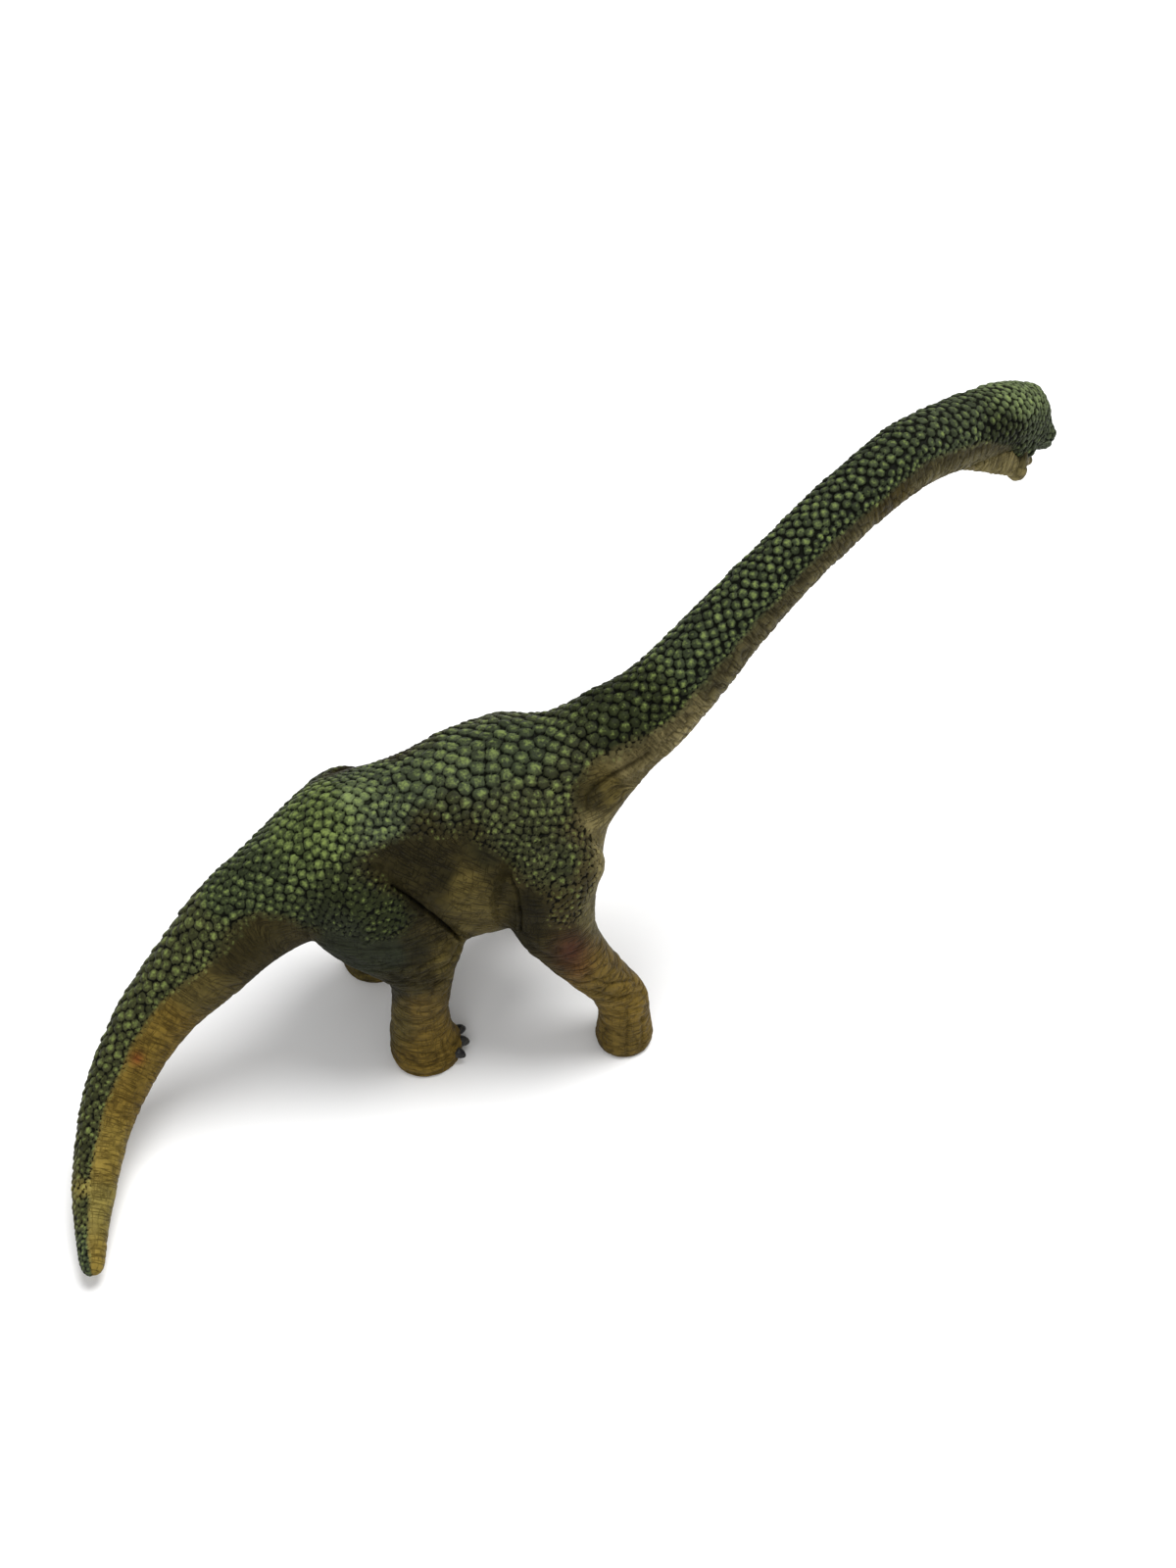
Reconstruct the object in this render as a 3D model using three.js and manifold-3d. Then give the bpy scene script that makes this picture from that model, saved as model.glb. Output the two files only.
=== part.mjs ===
// Toy sauropod figure, moulded as eleven plastic pieces that plug into each other and are glued.
// A hollow torso of two shells carries the neck, the tail and four legs; the neck carries the head
// and its lower jaw, and the tail carries its tip.
// Millimetres, +X towards the head, +Y to the figure's left, +Z up, soles on Z = 0.

import * as THREE from "three";
import { mergeVertices } from "three/addons/utils/BufferGeometryUtils.js";
import Module from "manifold-3d";

const wasm = await Module();
wasm.setup();

// Fits and walls shared by every piece
const glueGap = 0.3; // clearance at each glued face
const shellWall = 3; // torso shells
const socketWall = 2.4; // material round a socket
const cutOverrun = 2; // how far a plug or a cutter starts inside its own piece

// Fineness of the modelled surfaces
const ringSpacing = 7; // between rings of the torso, neck, tail and legs
const headRingSpacing = 3; // between rings of the head and jaw
const trunkSides = 24;
const limbSides = 14;
const innerSpacingShare = 1.7; // spacing on the hidden faces inside the torso, against the outer
const innerSides = 12;
const jawSides = 16;
const smallSides = 10; // pegs, pins, claws, eyes
const slopeStepShare = 0.02; // step between rows for reading a slope
const ringClearShare = 0.2; // closest that a ring comes to an end ring, as a share of a row

// Torso
const torsoLength = 112; // tail root to neck root
const torsoDepth = 70; // spine to belly at the deepest section
const torsoWidth = 63; // widest section
const torsoHeight = 72.5; // floor to the centre of the deepest section
// Sections from tail to neck: along X, rise, swing, half across, half above, half below.
const torsoSectionShares = [
  [-0.429, -0.06, -0.06, 0.275, 0.215, 0.31],
  [-0.295, -0.02, -0.02, 0.365, 0.305, 0.43],
  [-0.125, -0.004, 0, 0.435, 0.33, 0.48],
  [0.054, 0.021, 0, 0.475, 0.41, 0.525],
  [0.223, 0.107, 0, 0.455, 0.365, 0.54],
  [0.339, 0.207, 0, 0.35, 0.29, 0.215],
];
const pinDiameter = 3.2; // pins that line up the two shells
const pinLength = 5;
// Places on the torso: along its length, across its width, up its depth from the centre height.
const neckRootPlaceShares = [0.446, 0.016, 0.343];
const tailRootPlaceShares = [-0.554, -0.111, -0.171];

// Neck
const neckReach = 130.5; // root to head, along X
const neckRise = 55.5;
const neckSwing = 43; // to the left
const neckRootDiameter = 31;
// Sections from root to head: reach, rise, swing, half of the diameter.
const neckSectionShares = [
  [0, 0, 0, 0.5],
  [0.115, 0.177, 0.02, 0.416],
  [0.31, 0.552, 0.186, 0.337],
  [0.515, 0.885, 0.37, 0.31],
  [0.724, 1.065, 0.63, 0.32],
  [0.88, 1.05, 0.83, 0.335],
  [1, 1, 1, 0.335],
];
const neckTenonLength = 12;
const neckTenonWidth = 16;
const neckTenonHeight = 13;
const headTenonLength = 8; // from the neck's upper end into the head
const headTenonWidth = 8;
const headTenonHeight = 10;

// Tail
const tailReach = 58.4; // root to end, back along X
const tailDrop = 54.2;
const tailSwing = 68.8; // to the right
const tailRootDiameter = 30.4;
// Sections from root to end: reach, drop, swing, half of the diameter.
const tailSectionShares = [
  [0, 0, 0, 0.5],
  [0.259, 0.201, 0.068, 0.424],
  [0.452, 0.366, 0.115, 0.365],
  [0.623, 0.53, 0.201, 0.322],
  [0.753, 0.658, 0.321, 0.286],
  [0.848, 0.768, 0.443, 0.253],
  [0.911, 0.85, 0.58, 0.217],
  [0.959, 0.923, 0.724, 0.181],
  [0.99, 0.969, 0.882, 0.141],
  [1, 0.99, 0.98, 0.11],
  [1.003, 1, 1.01, 0.05],
];
const tipSeamShare = 0.34; // where the tip is joined on, as a share of the rows from the end
const tailTenonLength = 12;
const tailTenonWidth = 15;
const tailTenonHeight = 13;
const tipTenonLength = 6;
const tipTenonDiameter = 5.5;

// Head and lower jaw
const headLength = 34.5;
const headWidth = 21;
const headHeight = 22.5;
const headPitch = THREE.MathUtils.degToRad(34); // nose down
const headTurn = THREE.MathUtils.degToRad(29); // nose left
// Sections from the neck to the nose: along, rise, half across, half above, half below.
const headSectionShares = [
  [0.2, 0.05, 0.48, 0.5, 0.42],
  [0.43, 0.03, 0.46, 0.52, 0.3],
  [0.65, -0.02, 0.37, 0.34, 0.22],
  [0.84, -0.04, 0.3, 0.22, 0.17],
  [0.97, -0.05, 0.22, 0.16, 0.13],
  [1, -0.055, 0.12, 0.08, 0.07],
];
const eyeDiameter = 5.4;
const eyePlaceShares = [0.43, 0.37, 0.17]; // along, to the side, up
const nostrilDiameter = 2.2;
const nostrilPlaceShares = [0.69, 0.13, 0.25];
const jawOpening = THREE.MathUtils.degToRad(6);
const jawHingeShares = [0.24, -0.44]; // along the head, up
// Sections from hinge to chin: along, rise, half across, half above, half below.
const jawSectionShares = [
  [-0.06, -0.01, 0.24, 0.1, 0.08],
  [0, -0.01, 0.38, 0.13, 0.14],
  [0.22, 0.06, 0.34, 0.12, 0.15],
  [0.42, 0.14, 0.25, 0.09, 0.13],
  [0.58, 0.18, 0.18, 0.07, 0.1],
  [0.64, 0.19, 0.1, 0.04, 0.05],
];
const jawKnobDiameter = 7; // bulge at each corner of the jaw
const jawKnobShares = [0.06, 0.38, -0.04]; // along, to the side, up, from the hinge
const jawPegPlaceShare = 0.2; // along the head from the hinge
const jawPegRise = 6; // above the hinge
const jawPegWidth = 4.4;
const jawPegLength = 6;

// Legs. Sections from sole to hip: height as a share of the hip's top; forward and outwards from the
// foot (0) to the hip (1); half fore and half across as shares of the leg's fore and across.
const hindLeg = {
  hipPlaceShares: [-0.232, 0.294, 0.164], // top of the thigh, as a place on the torso
  fore: 43,
  across: 24,
  sectionShares: [
    [0, 0, 0, 0.24, 0.42],
    [0.03, 0, 0, 0.255, 0.44],
    [0.14, 0.08, 0, 0.222, 0.375],
    [0.28, 0.06, -0.1, 0.202, 0.365],
    [0.4, -0.04, -0.3, 0.212, 0.39],
    [0.49, 0.02, -0.2, 0.265, 0.43],
    [0.58, 0.26, 0.3, 0.39, 0.47],
    [0.7, 0.66, 0.8, 0.49, 0.5],
    [0.82, 0.94, 1, 0.45, 0.46],
    [0.91, 1, 1, 0.33, 0.35],
    [0.97, 1, 1, 0.2, 0.22],
    [1, 1, 1, 0.1, 0.11],
  ],
  pegPlaceShare: 0.73, // section that the peg leaves from, as a share of the sections
  clawAngles: [-12, 13, 38].map(THREE.MathUtils.degToRad), // from straight ahead, outwards
  clawLength: 5,
};
const frontLeg = {
  hipPlaceShares: [0.192, 0.333, 0.25],
  fore: 34,
  across: 25,
  sectionShares: [
    [0, 0, 0, 0.25, 0.34],
    [0.028, 0, 0, 0.265, 0.355],
    [0.133, 0, 0.02, 0.235, 0.32],
    [0.233, 0.08, 0.06, 0.245, 0.33],
    [0.344, 0.33, 0.12, 0.265, 0.36],
    [0.467, 0.64, 0.22, 0.3, 0.4],
    [0.6, 0.88, 0.36, 0.35, 0.42],
    [0.722, 0.96, 0.6, 0.44, 0.47],
    [0.833, 0.96, 0.8, 0.5, 0.5],
    [0.922, 1, 0.95, 0.4, 0.42],
    [0.978, 1, 1, 0.25, 0.26],
    [1, 1, 1, 0.1, 0.1],
  ],
  pegPlaceShare: 0.73,
  clawAngles: [-50].map(THREE.MathUtils.degToRad),
  clawLength: 4.5,
};
const clawWidth = 4.2;
const clawHeight = 4.8;
const clawRise = 3.3; // centre of a claw above the floor
const legPegWidth = 11; // oval peg between hip and torso
const legPegHeight = 8;
const legPegFromMiddle = 3; // end of the peg to the figure's mid-plane
// Each foot's step ahead of its hip and outwards from it.
const feet = {
  hind_left: { leg: hindLeg, side: 1, stride: 3.9, splay: 1.6 },
  hind_right: { leg: hindLeg, side: -1, stride: 11, splay: 2 },
  front_left: { leg: frontLeg, side: 1, stride: 12.5, splay: 7 },
  front_right: { leg: frontLeg, side: -1, stride: 23.3, splay: 10.6 },
};

const vertical = new THREE.Vector3(0, 0, 1);

// Closed solids and the surfaces between them

function bare(geometry) {
  const copy = geometry.clone();
  Object.keys(copy.attributes)
    .filter((name) => name !== "position")
    .forEach((name) => copy.deleteAttribute(name));
  return mergeVertices(copy);
}

function solid(geometry) {
  const { attributes, index } = bare(geometry);
  const vertProperties = new Float32Array(attributes.position.array);
  return new wasm.Manifold(
    new wasm.Mesh({ numProp: 3, vertProperties, triVerts: new Uint32Array(index.array) }),
  );
}

function surface(manifold) {
  const { vertProperties, triVerts } = manifold.getMesh();
  const geometry = new THREE.BufferGeometry();
  geometry.setAttribute("position", new THREE.BufferAttribute(vertProperties, 3));
  geometry.setIndex(new THREE.BufferAttribute(triVerts, 1));
  geometry.computeVertexNormals();
  return geometry;
}

// Skin over rings of points that follow each other, with a flat end at each side.
function skin(rings) {
  const sides = rings[0].length;
  const points = rings.flat();
  const faces = [];
  for (let ring = 0; ring < rings.length - 1; ring += 1) {
    for (let side = 0; side < sides; side += 1) {
      const here = ring * sides + side;
      const next = ring * sides + ((side + 1) % sides);
      faces.push(here, next, next + sides, here, next + sides, here + sides);
    }
  }
  const lastRing = (rings.length - 1) * sides;
  const start = points.push(middle(rings[0])) - 1;
  const end = points.push(middle(rings.at(-1))) - 1;
  for (let side = 0; side < sides; side += 1) {
    const next = (side + 1) % sides;
    faces.push(start, next, side, end, lastRing + side, lastRing + next);
  }
  const geometry = new THREE.BufferGeometry().setFromPoints(points);
  geometry.setIndex(faces);
  return geometry;
}

function middle(points) {
  const sum = points.reduce((total, point) => total.add(point), new THREE.Vector3());
  return sum.divideScalar(points.length);
}

// The same surface, moved outwards everywhere by a distance (inwards if it is negative).
function offset(geometry, distance) {
  const moved = bare(geometry);
  moved.computeVertexNormals();
  const { position, normal } = moved.attributes;
  const point = new THREE.Vector3();
  const outward = new THREE.Vector3();
  for (let i = 0; i < position.count; i += 1) {
    point.fromBufferAttribute(position, i);
    outward.fromBufferAttribute(normal, i);
    point.addScaledVector(outward, distance);
    position.setXYZ(i, point.x, point.y, point.z);
  }
  return moved;
}

// Frames: a place, the way it faces, and its left and upward directions

function frameFacing(centre, direction) {
  const forward = direction.clone().normalize();
  const left = new THREE.Vector3().crossVectors(vertical, forward).normalize();
  const upward = new THREE.Vector3().crossVectors(forward, left);
  return { centre, forward, left, upward };
}

function placeIn(frame, along, left, up) {
  return frame.centre
    .clone()
    .addScaledVector(frame.forward, along)
    .addScaledVector(frame.left, left)
    .addScaledVector(frame.upward, up);
}

// Oval ring round a frame's forward axis, its upper and lower halves of their own height.
function ovalRing(frame, along, across, up, down, sides) {
  return Array.from({ length: sides }, (_, side) => {
    const angle = (side / sides) * 2 * Math.PI;
    const height = Math.sin(angle) > 0 ? up : down;
    return placeIn(frame, along, across * Math.cos(angle), height * Math.sin(angle));
  });
}

// Straight oval peg from a frame, running on ahead by its length and back by the overrun.
function peg(frame, length, width, height, clearance = 0, sides = trunkSides) {
  const across = width / 2 + clearance;
  const up = height / 2 + clearance;
  return skin(
    [-cutOverrun, length + clearance].map((along) => ovalRing(frame, along, across, up, up, sides)),
  );
}

function ball(centre, diameter, lengths = [diameter, diameter, diameter], turn = 0) {
  const unitBall = new THREE.SphereGeometry(1 / 2, smallSides, smallSides / 2);
  return unitBall.scale(...lengths).rotateZ(turn).translate(centre.x, centre.y, centre.z);
}

// A body drawn through rows of centre x, y, z and half across, above and below.
function sculpt(rows, spacings, sides) {
  const places = rows.map((_, index) => index);
  const between = new THREE.CubicInterpolant(places, rows.flat(), rows[0].length);
  const read = (at) => Array.from(between.evaluate(at));
  const centreAt = (at) => new THREE.Vector3(...read(at).slice(0, 3));
  const slopeAt = (at) => centreAt(at + slopeStepShare).sub(centreAt(at - slopeStepShare));
  const frameAt = (at) => frameFacing(centreAt(at), slopeAt(at));
  const ringPlaces = places.slice(1).flatMap((index) => {
    const length = centreAt(index).distanceTo(centreAt(index - 1));
    const count = Math.ceil(length / spacings(index));
    return Array.from({ length: count }, (_, step) => index - 1 + step / count);
  });
  const ringAt = (at) => ovalRing(frameAt(at), 0, ...read(at).slice(3), sides);
  return {
    frameAt,
    skinBetween(from, to) {
      const inside = ringPlaces.filter((at) => at > from + ringClearShare && at < to - ringClearShare);
      return skin([from, ...inside, to].map(ringAt));
    },
    // Place reached from another one after a distance along the body.
    advance(at, distance) {
      const steps = 24;
      let here = at;
      for (let step = 0; step < steps; step += 1) {
        const pace = slopeAt(here).length() / (2 * slopeStepShare);
        here += distance / steps / pace;
      }
      return here;
    },
  };
}

// Trunk: one flowing body from the tail's end to the nose, cut into pieces at its seams

function torsoPlace([along, side, rise]) {
  return [torsoLength * along, torsoWidth * side, torsoHeight + torsoDepth * rise];
}

const tailRoot = torsoPlace(tailRootPlaceShares);
const tailRows = tailSectionShares
  .map(([reach, drop, swing, half]) => [
    tailRoot[0] - tailReach * reach,
    tailRoot[1] - tailSwing * swing,
    tailRoot[2] - tailDrop * drop,
    tailRootDiameter * half,
    tailRootDiameter * half,
    tailRootDiameter * half,
  ])
  .reverse();
const torsoRows = torsoSectionShares.map(([along, rise, swing, across, up, down]) => [
  ...torsoPlace([along, swing, rise]),
  torsoWidth * across,
  torsoDepth * up,
  torsoDepth * down,
]);
const neckRoot = torsoPlace(neckRootPlaceShares);
const neckRows = neckSectionShares.map(([reach, rise, swing, half]) => [
  neckRoot[0] + neckReach * reach,
  neckRoot[1] + neckSwing * swing,
  neckRoot[2] + neckRise * rise,
  neckRootDiameter * half,
  neckRootDiameter * half,
  neckRootDiameter * half,
]);
const headFacing = new THREE.Vector3(1, 0, 0)
  .applyAxisAngle(new THREE.Vector3(0, 1, 0), headPitch)
  .applyAxisAngle(vertical, headTurn);
const headFrame = frameFacing(new THREE.Vector3(...neckRows.at(-1).slice(0, 3)), headFacing);
const headRows = headSectionShares.map(([along, rise, across, up, down]) => [
  ...placeIn(headFrame, headLength * along, 0, headHeight * rise).toArray(),
  headWidth * across,
  headHeight * up,
  headHeight * down,
]);

const tailSeam = tailRows.length - 1;
const neckSeam = tailRows.length + torsoRows.length;
const headSeam = neckSeam + neckRows.length - 1;
const tipSeam = tailSeam * tipSeamShare;
const trunkRows = [...tailRows, ...torsoRows, ...neckRows, ...headRows];
const noseEnd = trunkRows.length - 1;
const trunkSpacings = (index) => (index > headSeam ? headRingSpacing : ringSpacing);
const trunk = sculpt(trunkRows, trunkSpacings, trunkSides);
const innerRingSpacing = ringSpacing * innerSpacingShare;
const innerTrunk = sculpt(trunkRows, () => innerRingSpacing, innerSides);

function trunkPiece(from, to) {
  const start = from === 0 ? from : trunk.advance(from, glueGap / 2);
  const end = to === noseEnd ? to : trunk.advance(to, -glueGap / 2);
  return trunk.skinBetween(start, end);
}

function backwards(frame) {
  return frameFacing(frame.centre, frame.forward.clone().negate());
}

// Tenons at the seams, with a clearance for their sockets

const neckTenon = (clearance) =>
  peg(backwards(trunk.frameAt(neckSeam)), neckTenonLength, neckTenonWidth, neckTenonHeight, clearance);
const tailTenon = (clearance) =>
  peg(trunk.frameAt(tailSeam), tailTenonLength, tailTenonWidth, tailTenonHeight, clearance);
const tipTenon = (clearance) =>
  peg(trunk.frameAt(tipSeam), tipTenonLength, tipTenonDiameter, tipTenonDiameter, clearance, smallSides);
const headTenon = (clearance) =>
  peg(trunk.frameAt(headSeam), headTenonLength, headTenonWidth, headTenonHeight, clearance, smallSides);

function neck() {
  return solid(trunkPiece(neckSeam, headSeam))
    .add(solid(neckTenon(0)))
    .add(solid(headTenon(0)));
}

function tail() {
  return solid(trunkPiece(tipSeam, tailSeam))
    .add(solid(tailTenon(0)))
    .subtract(solid(tipTenon(glueGap)));
}

function tailTip() {
  return solid(trunkPiece(0, tipSeam)).add(solid(tipTenon(0)));
}

// Head and lower jaw

function headPlace([along, side, up], hand) {
  return placeIn(headFrame, headLength * along, headWidth * side * hand, headHeight * up);
}

const jawHinge = placeIn(headFrame, headLength * jawHingeShares[0], 0, headHeight * jawHingeShares[1]);
const jawFacing = headFrame.forward.clone().applyAxisAngle(headFrame.left, jawOpening);
const jawFrame = frameFacing(jawHinge, jawFacing);
const jawRows = jawSectionShares.map(([along, rise, across, up, down]) => [
  ...placeIn(jawFrame, headLength * along, 0, headHeight * rise).toArray(),
  headWidth * across,
  headHeight * up,
  headHeight * down,
]);
const jawPegFrame = frameFacing(
  placeIn(jawFrame, headLength * jawPegPlaceShare, 0, 0),
  headFrame.upward,
);
const jawPeg = (clearance) =>
  peg(jawPegFrame, jawPegRise, jawPegWidth, jawPegLength, clearance, smallSides);

function head() {
  const skull = solid(trunkPiece(headSeam, noseEnd));
  const eyes = [1, -1].map((hand) => solid(ball(headPlace(eyePlaceShares, hand), eyeDiameter)));
  const nostrils = [1, -1].map((hand) =>
    solid(ball(headPlace(nostrilPlaceShares, hand), nostrilDiameter)),
  );
  const sockets = [headTenon(glueGap), jawPeg(glueGap)].map(solid);
  return cut(join(skull, eyes), [...nostrils, ...sockets]);
}

function lowerJaw() {
  const jaw = sculpt(jawRows, () => headRingSpacing, jawSides);
  const [along, side, up] = jawKnobShares;
  const knobs = [1, -1].map((hand) => {
    const centre = placeIn(jawFrame, headLength * along, headWidth * side * hand, headHeight * up);
    return solid(ball(centre, jawKnobDiameter));
  });
  const whole = join(solid(jaw.skinBetween(0, jawRows.length - 1)), knobs);
  const skullFit = solid(offset(trunkPiece(headSeam, noseEnd), glueGap));
  const neckFit = solid(offset(trunkPiece(neckSeam, headSeam), glueGap));
  return cut(whole, [skullFit, neckFit]).add(solid(jawPeg(0)));
}

function join(first, others) {
  return others.reduce((total, other) => total.add(other), first);
}

function cut(first, others) {
  return others.reduce((total, other) => total.subtract(other), first);
}

// Legs, each with a flat sole, claws and an oval peg into the torso

function legRows({ leg, side, stride, splay }) {
  const [hipForward, hipSpread, hipTop] = torsoPlace(leg.hipPlaceShares);
  return leg.sectionShares.map(([height, towards, inwards, fore, across]) => [
    hipForward + stride * (1 - towards),
    side * (hipSpread + splay * (1 - inwards)),
    hipTop * height,
    leg.fore * fore,
    leg.across * across,
  ]);
}

function legSkin(foot, spacing = ringSpacing, sides = limbSides) {
  const rows = legRows(foot);
  const places = rows.map((_, index) => index);
  const between = new THREE.CubicInterpolant(places, rows.flat(), rows[0].length);
  const rings = [];
  for (let index = 1; index < rows.length; index += 1) {
    const count = Math.ceil((rows[index][2] - rows[index - 1][2]) / spacing);
    for (let step = 0; step < count; step += 1) {
      rings.push(Array.from(between.evaluate(index - 1 + step / count)));
    }
  }
  rings.push(rows.at(-1));
  return skin(rings.map((row) => levelRing(row, sides)));
}

function levelRing([x, y, z, fore, across], sides) {
  return Array.from({ length: sides }, (_, side) => {
    const angle = (side / sides) * 2 * Math.PI;
    return new THREE.Vector3(x + fore * Math.cos(angle), y + across * Math.sin(angle), z);
  });
}

function legPeg(foot, clearance) {
  const rows = legRows(foot);
  const [x, y, z] = rows[Math.round((rows.length - 1) * foot.leg.pegPlaceShare)];
  const inward = frameFacing(new THREE.Vector3(x, y, z), new THREE.Vector3(0, -foot.side, 0));
  const length = Math.abs(y) - legPegFromMiddle;
  return peg(inward, length, legPegWidth, legPegHeight, clearance, smallSides);
}

function claws(foot) {
  const { leg, side } = foot;
  const [, [x, y, , fore, across]] = legRows(foot);
  return leg.clawAngles.map((angle) => {
    const ahead = fore * Math.cos(angle);
    const outwards = side * across * Math.sin(angle);
    const centre = new THREE.Vector3(x + ahead, y + outwards, clawRise);
    return ball(centre, clawWidth, [leg.clawLength, clawWidth, clawHeight], side * angle);
  });
}

function legPiece(foot) {
  return join(solid(legSkin(foot)), [legPeg(foot, 0), ...claws(foot)].map(solid));
}

// Torso: two hollow shells that meet at the mid-plane

function torsoHalf(side) {
  const start = trunk.advance(tailSeam, glueGap / 2 + tailTenonLength + socketWall);
  const end = trunk.advance(neckSeam, -glueGap / 2 - neckTenonLength - socketWall);
  const outer = solid(trunkPiece(tailSeam, neckSeam));
  const hollow = solid(offset(innerTrunk.skinBetween(start, end), -shellWall));
  const legs = Object.values(feet).filter((foot) => foot.side === side);
  const backings = legs.map((foot) => {
    const inner = legSkin(foot, innerRingSpacing, innerSides);
    return solid(offset(inner, glueGap + shellWall));
  });
  const bosses = legs.map((foot) => solid(legPeg(foot, glueGap + socketWall)));
  const cavity = cut(hollow, [...backings, ...bosses]);
  const sockets = [neckTenon(glueGap), tailTenon(glueGap)].map(solid);
  const pockets = legs.map((foot) => solid(offset(legSkin(foot), glueGap)));
  const pegHoles = legs.map((foot) => solid(legPeg(foot, glueGap)));
  const whole = cut(outer, [cavity, ...sockets, ...pockets, ...pegHoles]);
  const half = whole.intersect(solid(sideBlock(side)));
  return side > 0 ? join(half, shellPins(0).map(solid)) : cut(half, shellPins(glueGap).map(solid));
}

function sideBlock(side) {
  const reach = tailReach + torsoLength + neckReach;
  const block = new THREE.BoxGeometry(reach, reach, reach);
  return block.translate(0, (side * (reach + glueGap)) / 2, reach / 2);
}

// Pins of the left shell, halfway between the tenon and the skin, above and below each tenon.
function shellPins(clearance) {
  const places = [
    [trunk.advance(tailSeam, tailTenonLength / 2), (tailTenonHeight + tailRootDiameter) / 4],
    [trunk.advance(neckSeam, -neckTenonLength / 2), (neckTenonHeight + neckRootDiameter) / 4],
  ];
  return places.flatMap(([at, pinRise]) => {
    const frame = trunk.frameAt(at);
    return [pinRise, -pinRise].map((rise) => {
      const centre = placeIn(frame, 0, 0, rise).setY(0);
      const rightward = frameFacing(centre, new THREE.Vector3(0, -1, 0));
      return peg(rightward, pinLength, pinDiameter, pinDiameter, clearance, smallSides);
    });
  });
}

// Paint over moulded plastic
const scaleGreen = { color: 0x44552f, roughness: 0.62, metalness: 0 };
const skinOlive = { color: 0x6a6238, roughness: 0.6, metalness: 0 };
const throatTan = { color: 0x7a6a42, roughness: 0.6, metalness: 0 };

const pieces = [
  ["torso_left_shell", torsoHalf(1), scaleGreen],
  ["torso_right_shell", torsoHalf(-1), scaleGreen],
  ["neck", neck(), scaleGreen],
  ["head", head(), scaleGreen],
  ["lower_jaw", lowerJaw(), throatTan],
  ["tail", tail(), scaleGreen],
  ["tail_tip", tailTip(), throatTan],
  ...Object.entries(feet).map(([name, foot]) => [`${name}_leg`, legPiece(foot), skinOlive]),
];

const figure = new THREE.Group();
for (const [name, body, paint] of pieces) {
  const mesh = new THREE.Mesh(surface(body), new THREE.MeshStandardMaterial(paint));
  mesh.name = name;
  figure.add(mesh);
}

// Origin on the floor, under the middle of the figure's box.
const centre = new THREE.Box3().setFromObject(figure).getCenter(new THREE.Vector3());
figure.position.set(-centre.x, -centre.y, 0);

export default figure;
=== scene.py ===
# Looks of the toy sauropod figure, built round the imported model.
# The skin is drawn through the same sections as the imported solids, in millimetres, then sculpted
# with muscles, folds, scales and wrinkles, painted, and cut into one closed piece for each solid.

from math import cos, radians, sin

import bpy
import numpy as np
from mathutils import Matrix, Vector
from mathutils.kdtree import KDTree


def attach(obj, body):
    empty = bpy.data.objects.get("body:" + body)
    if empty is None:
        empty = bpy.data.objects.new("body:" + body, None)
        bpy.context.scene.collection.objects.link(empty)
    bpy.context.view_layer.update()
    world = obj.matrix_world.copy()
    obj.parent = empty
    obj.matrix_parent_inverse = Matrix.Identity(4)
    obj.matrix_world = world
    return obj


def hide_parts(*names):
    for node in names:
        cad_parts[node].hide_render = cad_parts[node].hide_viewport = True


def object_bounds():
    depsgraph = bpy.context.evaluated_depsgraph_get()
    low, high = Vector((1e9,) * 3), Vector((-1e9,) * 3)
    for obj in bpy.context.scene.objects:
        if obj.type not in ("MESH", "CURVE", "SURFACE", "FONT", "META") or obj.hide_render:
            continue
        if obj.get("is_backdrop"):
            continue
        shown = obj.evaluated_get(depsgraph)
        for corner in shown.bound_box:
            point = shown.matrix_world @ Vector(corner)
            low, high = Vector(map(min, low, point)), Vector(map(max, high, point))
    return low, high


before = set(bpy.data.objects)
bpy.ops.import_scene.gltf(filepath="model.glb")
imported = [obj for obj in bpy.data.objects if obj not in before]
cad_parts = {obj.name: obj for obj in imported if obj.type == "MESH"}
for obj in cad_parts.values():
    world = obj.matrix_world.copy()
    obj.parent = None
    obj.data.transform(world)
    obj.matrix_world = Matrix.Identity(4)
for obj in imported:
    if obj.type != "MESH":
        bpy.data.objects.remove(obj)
cad_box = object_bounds()
scene = bpy.context.scene

MM = 0.001
SHIFT = np.array([-41.5, 7.76, 0.0])  # from the sections' frame to the row frame
MIDDLE_Y = SHIFT[1]
UP = np.array([0.0, 0.0, 1.0])
VOXEL = 0.82  # cells of the plain skin, in millimetres
rng = np.random.default_rng(7)

# Camera, as the photograph's
AZIMUTH, ELEVATION = radians(-16), radians(44)
DISTANCE = 600.0
FOCAL_PX = 2000.0
FRAME_PX = (1200, 1600)
TARGET = np.array([48.0, 19.56, 60.0]) + SHIFT
BACK = np.array([
    sin(AZIMUTH) * cos(ELEVATION),
    -cos(AZIMUTH) * cos(ELEVATION),
    sin(ELEVATION),
])
RIGHT = np.array([cos(AZIMUTH), sin(AZIMUTH), 0.0])
OVER = np.cross(BACK, RIGHT)
EYE = TARGET + BACK * DISTANCE


def to_photo(points):
    """The photograph's pixels that show these places."""
    seen = points - EYE
    depth = -(seen @ BACK)
    return np.stack([
        FRAME_PX[0] / 2 + FOCAL_PX * (seen @ RIGHT) / depth,
        FRAME_PX[1] / 2 - FOCAL_PX * (seen @ OVER) / depth,
    ], axis=1)


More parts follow.
